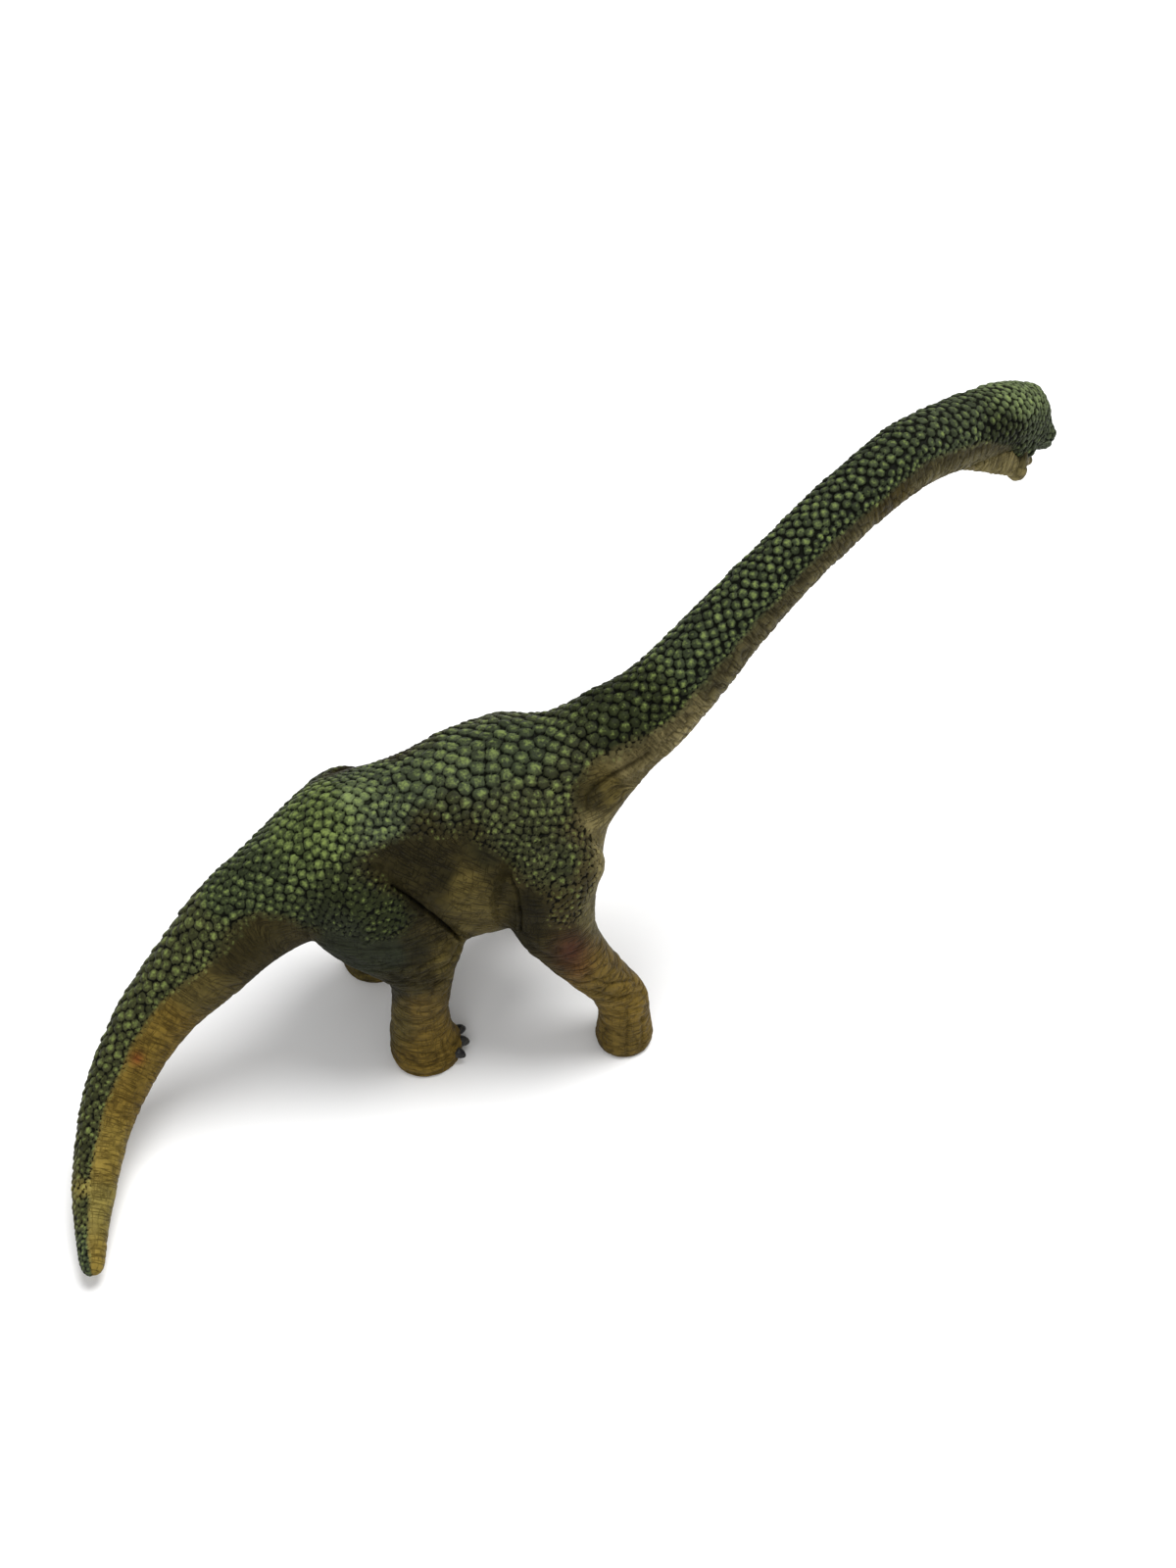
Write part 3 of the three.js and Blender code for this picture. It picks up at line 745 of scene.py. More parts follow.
scaled = by_turn + (by_photo * outer_side - by_turn) * torso_share
side_factor = 0.5 + 0.5 * ramp(0, 34, depth_in)
spacing = np.interp(at, ROW, SPACING) * np.where(at > 24, 1, side_factor)
by_place = from_places(photo, SPACING_PLACES)[:, 0]
by_place *= 0.72 + 0.28 * ramp(0, 16, from_edge)
spacing += (by_place - spacing) * torso_share

# Scale centres, laid from the tail forwards so that they fall into rows across the body
CLOSEST = 0.88  # of their spacing
EVENING_ROUNDS = 6  # each moves every centre to the middle of its scale
run = np.interp(at, line_at, run_of)
candidates = np.flatnonzero(scaled > 0.12)
cloud, apart = points[candidates], spacing[candidates]
order = np.argsort(run[candidates] + rng.uniform(0, 0.4, len(candidates)))
tree = tree_of(cloud)
free = np.ones(len(cloud), bool)
chosen = []
for number in order.tolist():
    if free[number]:
        chosen.append(number)
        close = tree.find_range(cloud[number], CLOSEST * apart[number])
        free[[hit[1] for hit in close]] = False
seeds = cloud[chosen]
weight = apart**-2.0
for _ in range(EVENING_ROUNDS):
    owner = nearest(seeds, cloud)
    total = np.bincount(owner, weight, len(seeds))
    moved = np.transpose([np.bincount(owner, weight * row, len(seeds)) for row in cloud.T])
    used = total > 0
    seeds = moved[used] / total[used, None]
seeds = cloud[nearest(cloud, seeds)]

# The fine skin
base = mesh_from("base", points, quads.tolist())
SLOPE_UP, SLOPE_ALONG = 0.85, 0.53  # the flank's wrinkles slope
trunk_grain = np.c_[run, lateral, vertical]
flank_grain = np.c_[
    vertical * SLOPE_UP + run * SLOPE_ALONG, lateral, run * SLOPE_UP - vertical * SLOPE_ALONG
]
trunk_grain += (flank_grain - trunk_grain) * (torso_share * (1 - leg_weight))[:, None]
leg_grain = points[:, [2, 0, 1]]
leg_shares = [spread(label == number, edges, 3) for number in range(1, 5)]
CARRIED = {
    "scaled": scaled, "at": at, "leg_weight": leg_weight, "seen": seen, "depth_in": depth_in,
    "grain": trunk_grain + (leg_grain - trunk_grain) * (label > 0)[:, None],
    "photo": np.c_[photo, np.zeros(len(points))],
    "legs": np.transpose(leg_shares),
}


KINDS = {1: ("FLOAT", "value"), 3: ("FLOAT_VECTOR", "vector"), 4: ("FLOAT_COLOR", "color")}


def carry(mesh, key, values):
    """Puts values on a mesh's points: numbers, places or colours."""
    kind, field = KINDS[values.size // len(values)]
    layer = mesh.attributes.new(key, kind, "POINT")
    layer.data.foreach_set(field, np.ascontiguousarray(values, "f4").ravel())


for key, values in CARRIED.items():
    carry(base, key, values)
fine = with_modifier(base, "SUBSURF", levels=1)
points, quads, edges = parts_of(fine)


def carried(key, width=1):
    return array_of(fine.attributes[key].data, KINDS[width][1], width).astype(float)


scaled, at, leg_weight, seen, depth_in = map(
    carried, ("scaled", "at", "leg_weight", "seen", "depth_in")
)
grain, photo, leg_shares = carried("grain", 3), carried("photo", 3)[:, :2], carried("legs", 4)
normals = normals_of(points, quads)

# Folds, pressed in
lift = np.zeros(len(points))
shade = np.zeros(len(points))  # how deep in a fold or groove, for the dark wash; in the folds it is partly painted shade
for path, depth, width in FOLDS:
    far = to_segments(photo, path) / width
    groove = bell(far) * (0.6 + 0.8 * noise(points / 2.5, 37))
    lift += seen * depth * (0.35 * bell(far - 2.2) - groove)
    # the folds' darkness is partly painted shade
    shade = np.maximum(shade, seen * np.minimum(depth, 1) * groove)

# Toes, raised behind the claws, in millimetres
CLAW_RISE = 4.2
TOE_BEHIND, TOE_ABOVE, TOE_REACH, TOE_HEIGHT = 1.2, 0.36, 2.3, 0.9


def claw_places(name):
    """Where the claws of a leg are, and the way each points."""
    leg, side = LEGS[name][:2]
    x, y, _, fore, across = leg_tables[name][1]
    places = []
    for angle in leg["claws"]:
        turn = radians(angle)
        place = np.array([x + fore * cos(turn), y + side * across * sin(turn), CLAW_RISE])
        places.append((place, side * turn))
    return places


for name in LEGS:
    for place, heading in claw_places(name):
        ahead = np.array([cos(heading), sin(heading), 0])
        toe = place - TOE_BEHIND * ahead + TOE_ABOVE * UP
        lift += TOE_HEIGHT * bell(length(points - toe) / TOE_REACH)

# Eyes and nostrils, dented into the head
EYE_PLACE, EYE_RADIUS = (0.69, 0.29, 0.1), 1.8
NOSTRIL_PLACE, NOSTRIL_RADIUS = (0.86, 0.13, 0.13), 0.9
EYES = both_sides(*EYE_PLACE)
for eye in EYES:
    far = length(points - eye) / EYE_RADIUS
    lift += 0.6 * bell((far - 1.35) / 0.25) - 0.9 * bell(far / 0.9)  # lid and socket
for nostril in both_sides(*NOSTRIL_PLACE):
    outwards = points - nostril
    far = length(outwards - normals * dot(outwards, normals)[:, None])
    far[(at < 24) | (length(outwards) > 5)] = np.inf
    hole = bell(far / NOSTRIL_RADIUS)
    lift += 0.3 * bell((far - 1.6) / 0.5) - hole
    shade = np.maximum(shade, hole)

# Scales
NEIGHBOURS = 6
RADIUS_SHARE, HEIGHT_SHARE, SUNK_SHARE = 0.585, 0.46, 0.6  # of the gap, the radius and the height
seed_tree = tree_of(seeds)
gaps = [
    np.mean([hit[2] for hit in seed_tree.find_n(point, NEIGHBOURS)[1:]])
    for point in seeds.tolist()
]
reach = np.array(gaps) * RADIUS_SHARE * rng.uniform(0.93, 1.05, len(seeds))  # the radius
height = rng.uniform(0.8, 1.2, len(seeds))
luck = rng.random(len(seeds))
covered = np.flatnonzero(scaled > 0.02)
bent = points[covered]
wobble = np.transpose([bumps(bent, 1.1, 0.55, 20 + axis) for axis in range(3)])
# Share of the radius from the three nearest centres, the lowest first
hits = np.array([
    [hit[1:] for hit in seed_tree.find_n(point, 3)] for point in (bent + wobble).tolist()
])
index = hits[..., 0].astype(int)
share = hits[..., 1] / reach[index]
rank = np.argsort(share, axis=1)
index = np.take_along_axis(index, rank, 1)
share = np.take_along_axis(share, rank, 1)
first, second, mine = share[:, 0], share[:, 1], index[:, 0]
spaced = ramp(16.5, 19.5, at[covered]) * (1 - ramp(22.6, 23.6, at[covered]))
rim = np.clip(1 - (first * (1 + 0.14 * spaced)) ** 2, 0, 1)  # with wider gaps on the neck
dome = rim**0.25 * ramp(0, 0.13, second - first)
backward = -axes(trunk_rows, at[covered])[0]
lean = dot(bent - seeds[mine], backward) / reach[mine] * (1 - leg_weight[covered])
rise = (0.84 * dome + 0.16 * rim) * (1 + 0.45 * lean)
edge_of_area = ramp(0.05, 0.7, scaled[covered])
rise = (rise * height[mine] - SUNK_SHARE) * HEIGHT_SHARE * reach[mine]
lift[covered] += rise * edge_of_area
relief, crest = np.zeros(len(points)), np.zeros(len(points))
relief[covered], crest[covered] = dome, rim * (1 - 0.25 * lean)
chance = np.full(len(points), 0.5)
chance[covered] = luck[mine]

# Wrinkles of the bare skin: depth over the places of the photograph, in millimetres
WRINKLED = np.array([
    (420, 870, 0.12), (480, 900, 0.15), (490, 940, 0.2), (400, 960, 0.16), (450, 975, 0.26),
    (430, 1000, 0.3), (430, 1045, 0.24), (430, 1090, 0.3), (545, 930, 0.16), (570, 970, 0.22),
    (615, 1005, 0.32), (635, 1030, 0.26), (630, 1070, 0.22), (610, 810, 0.2), (650, 785, 0.34),
    (750, 690, 0.4), (850, 580, 0.36), (980, 470, 0.4), (270, 950, 0.16), (170, 1050, 0.2),
    (110, 1200, 0.2), (613, 900, 0.12),
])


def at_pixels(table):
    """Values of a table of pixels at the points of the fine skin."""
    parts = np.array_split(photo, 12)
    return np.concatenate([from_places(part, table) for part in parts])


# Sizes of the wrinkles along, aside and up in the grain, in millimetres
ACROSS_SIZE, CROSSING_SIZE = (1.7, 7.0, 7.0), (6.0, 5.0, 1.9)
bare = 1 - scaled
deep = at_pixels(WRINKLED)[:, 0]
drift = 1.6 * noise(points / 5, 31)[:, None] + 3 * noise(points / 14, 32)[:, None]
on_neck = (at > NECK_SEAM) & (leg_weight < 0.5)
finer = np.where(on_neck, 1.4, 1)[:, None]
rings_across = ridges((grain + drift) / ACROSS_SIZE * finer, 33)
along, aside, rise = grain.T
slanting = np.c_[along * 0.7 + rise * 0.7, aside, rise * 0.7 - along * 0.7]
crossing = ridges((slanting + drift) / CROSSING_SIZE, 34)
groove = np.maximum(rings_across**5, 0.7 * crossing**6 * noise(points / 6, 35))
lift -= bare * deep * (1.5 * groove - 0.3)
lift += bumps(points, 0.9, 0.06, 15) + bare * bumps(points, 3, 0.12, 36)
shade = np.maximum(shade, bare * groove * np.minimum(deep * 3, 1) * 0.8)
lift *= ramp(0.0, 2.0, points[:, 2])
points = lifted(points, normals, lift)
normals = normals_of(points, quads)

# Paint, as sRGB, and the pixels of the photograph that show it. Some of it is painted shade or painted
# light, as marked below
PAINTS = {
    "umber": (34, 30, 12), "olive": (52, 46, 22), "khaki": (82, 72, 36), "slate": (36, 40, 26),
    "dun": (97, 80, 36), "clay": (108, 88, 36), "tan": (106, 87, 35), "ochre": (124, 106, 48),
    "straw": (122, 110, 56), "stone": (94, 87, 56), "sand": (118, 108, 70), "cream": (130, 119, 80),
    "laurel": (44, 51, 30), "bark": (40, 37, 18), "moss": (55, 62, 43), "spring": (57, 66, 36),
    "deep moss": (48, 55, 36), "ivy": (36, 41, 20), "bronze": (58, 52, 30), "lichen": (86, 97, 64),
    "fern": (48, 50, 30), "pond": (52, 54, 31), "wine": (84, 32, 34), "rust": (120, 40, 24),
}
SKIN_PAINT = {
    # umber on the upper flank and in its hollows is partly painted shade
    "umber": [(420, 870), (450, 895), (420, 935), (545, 925), (540, 950)],
    "khaki": [(475, 908), (490, 935), (455, 975), (405, 1040), (625, 803), (915, 512), (200, 1005)],
    "bark": [(500, 872), (425, 965), (405, 1005)],
    "olive": [
        (515, 900), (440, 950), (425, 1005), (575, 955), (560, 970), (605, 812), (230, 970), (270, 945),
        (300, 945),
    ],
    "slate": [(400, 975), (370, 975), (350, 965)],
    "dun": [(430, 1030), (605, 990), (610, 1005), (630, 1065)],
    "clay": [(445, 1065), (435, 1090), (640, 1025)],
    "stone": [(605, 930), (740, 695), (800, 620), (870, 555), (950, 482), (985, 472), (1030, 470)],
    "sand": [(613, 880), (610, 850)],
    # cream on the chest strip is partly painted light, brightening the chest where it faces down
    "cream": [(645, 788), (675, 762), (700, 735)],
    "tan": [(170, 1050), (140, 1110)],
    "ochre": [(112, 1190), (105, 1300)],
    "straw": [(108, 1225)],
}
# Scales: the last number is how much of their tops is brushed yellow-green
SCALE_PAINT = {
    "moss": [
        (430, 800, 0.5), (400, 815, 0.5), (480, 795, 0.65), (390, 845, 0.5), (980, 430, 0.45),
        (1065, 440, 0.3), (92, 1275, 0.6),
    ],
    "deep moss": [(530, 762, 0.5), (710, 670, 0.5), (800, 570, 0.55), (900, 480, 0.45)],
    "lichen": [(362, 798, 0.6), (1045, 405, 0.6)],
    "fern": [
        (460, 822, 0.4), (500, 830, 0.4), (530, 850, 0.35), (560, 820, 0.4), (575, 880, 0.4),
        (600, 800, 0.4),
    ],
    "spring": [(300, 850, 0.6), (335, 845, 0.75)],
    "bark": [(390, 885, 0.4), (435, 842, 0.1), (480, 850, 0.1)],
    # ivy low on the thigh and at the neck base is partly painted shade
    "ivy": [(365, 920, 0.15), (400, 940, 0.2), (640, 740, 0.15), (670, 720, 0.4), (1030, 440, 0.1)],
    "slate": [(350, 945, 0.05)],
    "bronze": [(598, 890, 0.15), (600, 850, 0.3)],
    "olive": [(570, 930, 0.2)],
    "laurel": [(260, 890, 0.4), (225, 915, 0.35)],
    "pond": [
        (205, 950, 0.4), (170, 980, 0.45), (130, 1050, 0.4), (110, 1110, 0.4), (95, 1170, 0.45),
        (94, 1196, 0.4), (92, 1228, 0.4),
    ],
    "straw": [(92, 1212, 0.35)],
}
# Stains: paint, pixel, reach in pixels and strength
STAINS = [("wine", 585, 972, 14, 0.45), ("wine", 590, 990, 9, 0.25), ("rust", 140, 1080, 5, 0.5)]


def linear(srgb):
    """Colours as the materials count them."""
    srgb = np.asarray(srgb, float) / 255
    return np.where(srgb < 0.04045, srgb / 12.92, ((srgb + 0.055) / 1.055) ** 2.4)


def paint_at_pixels(table):
    rows = [
        (x, y, *linear(PAINTS[paint]), *rest) for paint, places in table.items()
        for x, y, *rest in places
    ]
    return at_pixels(np.array(rows))


skin_paint = paint_at_pixels(SKIN_PAINT)
scale_paint = paint_at_pixels(SCALE_PAINT)
NEAR_PIXELS = 15  # a point is on the shown side if its reference is this near to it
on_shown_side = length(photo - to_photo(points)) < NEAR_PIXELS
for paint, x, y, wide, strength in STAINS:
    amount = strength * blot(photo, (x, y), wide) * seen * on_shown_side
    for colours in (skin_paint, scale_paint[:, :3]):
        colours += amount[:, None] * (linear(PAINTS[paint]) - colours)
neck_shade_and_wash = ramp(-38, -2, depth_in) * ramp(16.5, 17.8, at)  # darker next to the scales: partly painted shade, partly a darker wash
skin_paint *= (1 - 0.5 * neck_shade_and_wash)[:, None]
fading = ramp(0.3, 1.0, scaled) ** 2
to_scales = (scale_paint[:, :3] - skin_paint) * (0.35 + 0.65 * fading)[:, None]
scale_paint[:, :3] = skin_paint + to_scales
scale_paint[:, 3] *= 0.3 + 0.7 * fading
LOOKS = {
    "grain": grain,
    "skin_paint": np.c_[skin_paint, shade],
    "scale_paint": scale_paint,
    "relief": np.c_[relief, chance, scaled, crest],
}


# Materials
def wire(socket, value):
    """Joins an input to another node's output, or sets it to a value."""
    if isinstance(value, bpy.types.NodeSocket):
        socket.id_data.links.new(value, socket)
    else:
        socket.default_value = value


def node(tree, kind, inputs=None, **settings):
    made = tree.nodes.new("ShaderNode" + kind)
    for key, value in settings.items():
        setattr(made, key, value)
    for key, value in (inputs or {}).items():
        wire(made.inputs[key], value)
    return made


def new_material(name, roughness=0.5, gloss=0.06):
    """A material, its nodes, its shader's inputs and the places on the object."""
    material = bpy.data.materials.new(name)
    material.use_nodes = True
    tree = material.node_tree
    inputs = tree.nodes["Principled BSDF"].inputs
    inputs["Roughness"].default_value = roughness
    inputs["Specular IOR Level"].default_value = gloss
    return material, tree, inputs, node(tree, "TexCoord").outputs["Object"]


def maths(tree, operation, a, b=0.5, c=0.5):
    return node(tree, "Math", {0: a, 1: b, 2: c}, operation=operation).outputs[0]


def sum_of(tree, start, *terms):
    """The start plus each value times its weight."""
    for value, weight in terms:
        start = maths(tree, "MULTIPLY_ADD", value, weight, start)
    return start


def ramped(tree, value, low, high):
    return node(
        tree, "MapRange", {"Value": value, "From Min": low, "From Max": high},
        interpolation_type="SMOOTHSTEP",
    ).outputs["Result"]


def mixed(tree, factor, a, b, blend="MIX"):
    made = node(tree, "Mix", data_type="RGBA", blend_type=blend)
    for number, value in ((0, factor), (6, a), (7, b)):
        wire(made.inputs[number], value)
    return made.outputs[2]


def attribute(tree, name):
    """A mesh attribute's colour and alpha, and its value as a place."""
    outputs = node(tree, "Attribute", attribute_name=name).outputs
    return outputs["Color"], outputs["Alpha"], outputs["Vector"]


def clouds(tree, place, scale, detail=3.0):
    return node(
        tree, "TexNoise",
        {"Vector": place, "Scale": scale, "Detail": detail, "Roughness": 0.6},
    ).outputs["Fac"]


def dent(tree, inputs, height, strength, distance):
    bump = node(tree, "Bump", {"Height": height, "Strength": strength, "Distance": distance})
    wire(inputs["Normal"], bump.outputs[0])


def fine_lines(tree, grain, along, across, width):
    """Thin wandering lines of a noise stretched along the grain: 1 on a line and 0 off it."""
    place = node(
        tree, "VectorMath", {0: grain, 1: (along, across, across)}, operation="MULTIPLY"
    ).outputs[0]
    off = maths(tree, "ABSOLUTE", maths(tree, "SUBTRACT", clouds(tree, place, 1.0, 1.0), 0.5))
    return maths(tree, "SUBTRACT", 1.0, ramped(tree, off, 0.0, width))


def painted_skin():
    material, tree, inputs, place = new_material("painted_skin")
    relief, crest, _ = attribute(tree, "relief")
    relief = node(tree, "SeparateColor", {"Color": relief}).outputs
    dome, chance, scaled = relief[0], relief[1], relief[2]
    skin, shade, _ = attribute(tree, "skin_paint")
    scales, brushed, _ = attribute(tree, "scale_paint")
    grain = attribute(tree, "grain")[2]

    # Scales: dark wash in the gaps, tops that differ, and patches brushed yellow-green
    specks = clouds(tree, place, 1300.0, 4.0)
    patches = clouds(tree, place, 700.0)
    wash = ramped(tree, sum_of(tree, dome, (specks, 0.3)), 0.56, 1.0)
    level = sum_of(tree, 0.1, (patches, 1.3), (chance, 0.55))
    tops = node(tree, "HueSaturation", {"Color": scales, "Value": level}).outputs["Color"]
    gaps = mixed(tree, 1.0, scales, (0.09, 0.09, 0.07, 1), "MULTIPLY")
    tops = mixed(tree, wash, gaps, tops)
    brush = sum_of(
        tree, 0.0, (crest, 0.5), (chance, 0.15), (patches, 0.9), (specks, 0.7), (brushed, 0.35)
    )
    brush = ramped(tree, brush, 1.34, 1.8)
    yellow = mixed(tree, 0.65, tops, (0.27, 0.35, 0.09, 1))
    tops = mixed(tree, maths(tree, "MULTIPLY", brush, 0.75), tops, yellow)

    # Bare skin: wrinkles filled with dark wash over mottled paint
    lines = maths(
        tree, "MAXIMUM", fine_lines(tree, grain, 0.9, 0.09, 0.07),
        maths(tree, "MULTIPLY", fine_lines(tree, grain, 0.11, 0.55, 0.04), 0.7),
    )
    lines = maths(tree, "MULTIPLY", lines, ramped(tree, clouds(tree, place, 180.0), 0.3, 0.5))
    mottle = ramped(tree, clouds(tree, place, 420.0, 6.0), 0.3, 0.7)
    mottle = mixed(tree, mottle, (0.92, 0.92, 0.9, 1), (1.2, 1.19, 1.14, 1))
    base = mixed(tree, 1.0, skin, mottle, "MULTIPLY")
    dark = mixed(tree, 1.0, skin, (0.16, 0.14, 0.1, 1), "MULTIPLY")
    base = mixed(tree, maths(tree, "MULTIPLY", lines, 0.62), base, dark)
    # darker in folds and grooves: a wash, and in the folds partly painted shade
    base = mixed(tree, shade, base, dark)
    cover = ramped(tree, sum_of(tree, scaled, (dome, 0.5)), 0.35, 0.75)
    wire(inputs["Base Color"], mixed(tree, cover, base, tops))

    wire(inputs["Roughness"], sum_of(tree, 0.4, (specks, 0.25)))
    engraved = maths(tree, "MULTIPLY", maths(tree, "SUBTRACT", 1.0, scaled), lines)
    dent(tree, inputs, sum_of(tree, 0.0, (specks, 0.4), (engraved, -1.0)), 0.7, 0.0004)
    return material


def claw_paint():
    material, tree, inputs, place = new_material("claw_paint", 0.25, 0.2)
    streaks = clouds(tree, place, 500.0, 4.0)
    black, grey = (0.008, 0.008, 0.009, 1), (0.03, 0.028, 0.022, 1)
    colour = mixed(tree, ramped(tree, streaks, 0.4, 0.7), black, grey)
    wire(inputs["Base Color"], colour)
    wire(inputs["Roughness"], sum_of(tree, 0.14, (streaks, 0.2)))
    dent(tree, inputs, streaks, 0.2, 0.0002)
    return material


def eye_paint():
    """Amber round a pupil. The ball's own z axis points out of the head."""
    material, tree, inputs, place = new_material("eye_paint", 0.12, 0.5)
    axes_of = node(tree, "SeparateXYZ", {0: place})
    flat = node(tree, "CombineXYZ", {0: axes_of.outputs[0], 1: axes_of.outputs[1]}).outputs[0]
    far = node(tree, "VectorMath", {0: flat}, operation="LENGTH").outputs["Value"]
    radius = EYE_RADIUS * MM
    pupil = ramped(tree, far, radius * 0.3, radius * 0.36)
    rim = ramped(tree, far, radius * 0.65, radius * 0.85)
    iris = mixed(tree, clouds(tree, place, 1800.0), (0.16, 0.07, 0.01, 1), (0.5, 0.3, 0.04, 1))
    colour = mixed(tree, pupil, (0.004, 0.004, 0.004, 1), iris)
    wire(inputs["Base Color"], mixed(tree, rim, colour, (0.02, 0.02, 0.01, 1)))
    return material


def mouth_paint():
    material, tree, inputs, place = new_material("mouth_paint", 0.4, 0.4)
    wet = clouds(tree, place, 700.0, 4.0)
    colour = mixed(tree, wet, (0.22, 0.07, 0.06, 1), (0.42, 0.18, 0.14, 1))
    wire(inputs["Base Color"], colour)
    dent(tree, inputs, wet, 0.4, 0.0003)
    return material


SKIN, CLAW, EYE_PAINT, MOUTH = painted_skin(), claw_paint(), eye_paint(), mouth_paint()


def show(name, mesh, material, slot, *nodes):
    """Makes a piece of the figure from a mesh, in place of solids where they are named."""
    piece = placed(name, mesh)
    mesh.materials.append(material)
    mesh.shade_smooth()
    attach(piece, "root")
    if nodes:
        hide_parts(*nodes)
    return piece


# The skin, cut where the castings meet
NODES = [
    "tail_tip", "tail", "torso_right_shell", "torso_left_shell", "neck", "head", "hind_left_leg",
    "hind_right_leg", "front_left_leg", "front_right_leg",
]
TORSO_RIGHT, TORSO_LEFT, FIRST_LEG = 2, 3, 6
part = np.select([at < TIP_SEAM, at < TAIL_SEAM, at < NECK_SEAM, at < HEAD_SEAM], [0, 1, 2, 4], 5)
part[(part == TORSO_RIGHT) & (points[:, 1] > MIDDLE_Y)] = TORSO_LEFT
strongest = leg_shares.argmax(1)
on_leg = leg_shares.max(1) > 0.5
part[on_leg] = FIRST_LEG + strongest[on_leg]
part = part[quads].min(1)

# Loose patches of a piece go to the piece round them
for number in range(len(NODES)):
    faces = np.flatnonzero(part == number)
    group = groups_of(quads[faces], len(points))[quads[faces, 0]]
    names, sizes = np.unique(group, return_counts=True)
    for name in names[sizes < sizes.max()]:
        loose = faces[group == name]
        touching = np.isin(quads, quads[loose]).any(1) & (part != number)
        if touching.any():
            part[loose] = np.bincount(part[touching]).argmax()


def capped(points, quads, beyond):
    """The points with a hub for each opening, and the triangles that close the openings.

    beyond gives the piece on the other side of each face's sides. Open sides towards one piece
    share a hub in their middle, so that two neighbours are cut alike.
    """
    starts, ends = sides_of(quads)
    open_side = ~np.isin(starts * len(points) + ends, ends * len(points) + starts)
    starts, ends = starts[open_side], ends[open_side]
    names, which = np.unique(beyond.ravel()[open_side], return_inverse=True)
    hubs = [points[starts[which == hub]].mean(0) for hub in range(len(names))]
    hub_of = len(points) + which
    triangles = list(zip(ends, starts, hub_of))
    incoming, outgoing = {}, {}
    for start, end, hub in zip(starts.tolist(), ends.tolist(), hub_of.tolist()):
        incoming.setdefault(end, []).append(hub)
        outgoing.setdefault(start, []).append(hub)
    links = []
    for point, comes in incoming.items():
        for one, other in zip(sorted(comes), sorted(outgoing.get(point, []))):
            if one != other:
                triangles.append((point, one, other))
                links.append((one, other))
    for one, other in list(links):  # links that run both ways close each other
        if (one, other) in links and (other, one) in links:
            links.remove((one, other))
            links.remove((other, one))
    first = len(points)
    triangles += [(b, a, first) for a, b in links if first not in (a, b)]
    return np.vstack([points, *hubs]), [tuple(map(int, triangle)) for triangle in triangles]


def closed_mesh(name, points, quads, normals, looks, beyond=None):
    """A mesh whose openings are closed, with the looks and the normals of the whole skin."""
    everywhere, triangles = points, []
    if beyond is not None:
        everywhere, triangles = capped(points, quads, beyond)
    extra = len(everywhere) - len(points)
    mesh = mesh_from(name, everywhere * MM, quads.tolist() + triangles)
    for key, values in looks.items():
        carry(mesh, key, np.concatenate([values, values[:extra]]))
    mesh.shade_smooth()
    mesh.normals_split_custom_set_from_vertices(np.vstack([normals, normals[:extra]]).tolist())
    return mesh


# The face across each face's sides
starts, ends = sides_of(quads)
own_key = starts * len(points) + ends
order = np.argsort(own_key)
across = np.searchsorted(own_key, ends * len(points) + starts, sorter=order)
across = order[np.minimum(across, len(order) - 1)] // 4
beyond = part[across].reshape(-1, 4)
for number, name in enumerate(NODES):
    mine = quads[part == number]
    used = np.unique(mine)
    renumber = np.zeros(len(points), int)
    renumber[used] = np.arange(len(used))
    looks = {key: values[used] for key, values in LOOKS.items()}
    mesh = closed_mesh(
        name + "_skin", points[used], renumber[mine], normals[used], looks, beyond[part == number]
    )
    slot = "bare_skin" if number >= FIRST_LEG else "scaled_skin"
    show(name + "_skin", mesh, SKIN, slot, name)

# Lower jaw: its bone, the knobs at its back corners and the web of skin under the throat
JAW_VOXEL = 0.4
JAW_KNOB, JAW_KNOB_RADIUS = (0.3, 0.41, -0.5), 3.1
JAW_TOP, JAW_CHIN, JAW_UNDER = (0.27, 0.36, -0.3), (0.62, 0.2, -0.36), (0.3, 0, -0.56)
WEB_ROWS = np.arange(22.0, 23.1, 0.15)  # where the web leaves the neck
WEB_ANGLE = 45  # degrees off straight down
JAW_STEP, JAW_SIDES = 0.8, 48
shapes = [rings_of(jaw_rows, even_places(jaw_rows, JAW_STEP), JAW_SIDES)]
neck_rings = rings_of(trunk_rows, WEB_ROWS, 360)  # a point for each degree
knobs, tops, chins = (both_sides(*place) for place in (JAW_KNOB, JAW_TOP, JAW_CHIN))
BELOW = 270  # degrees round a ring
# Radii at the two ends of each strand, in millimetres
WEB_EDGE, WEB, CHIN, CHEEK, THROAT = (0.9, 2.0), (1.2, 2.0), (2.2, 1.5), (2.9, 2.4), (1.5, 3.0)
WEB_SAG = 0.5
for sign, knob, top, chin in zip((-1, 1), knobs, tops, chins):
    shapes.append(ball_rings(knob, JAW_KNOB_RADIUS))
    web = neck_rings[:, BELOW + sign * WEB_ANGLE]
    shapes += strand(web[0], knob, *WEB_EDGE, WEB_SAG)
    for start in web[1:]:
        shapes += strand(start, knob, *WEB)
    shapes += strand(knob, chin, *CHIN)
    shapes += strand(knob, top, *CHEEK)
shapes += strand(neck_rings[0, BELOW], head_place(*JAW_UNDER), *THROAT)
jaw_points, jaw_quads, jaw_edges = fused(shapes, JAW_VOXEL)
jaw_points = spread(jaw_points, jaw_edges, 4)
jaw_normals = normals_of(jaw_points, jaw_quads)
jaw_grain = np.c_[jaw_points @ head_forward, jaw_points @ head_left, jaw_points[:, 2]]
groove = ridges(jaw_grain / (1.3, 5.0, 5.0) + noise(jaw_points / 4, 41)[:, None], 42) ** 4
jaw_lift = 0.18 - 0.35 * groove + bumps(jaw_points, 1.2, 0.25, 43)
jaw_points = lifted(jaw_points, jaw_normals, jaw_lift)
jaw_normals = normals_of(jaw_points, jaw_quads)
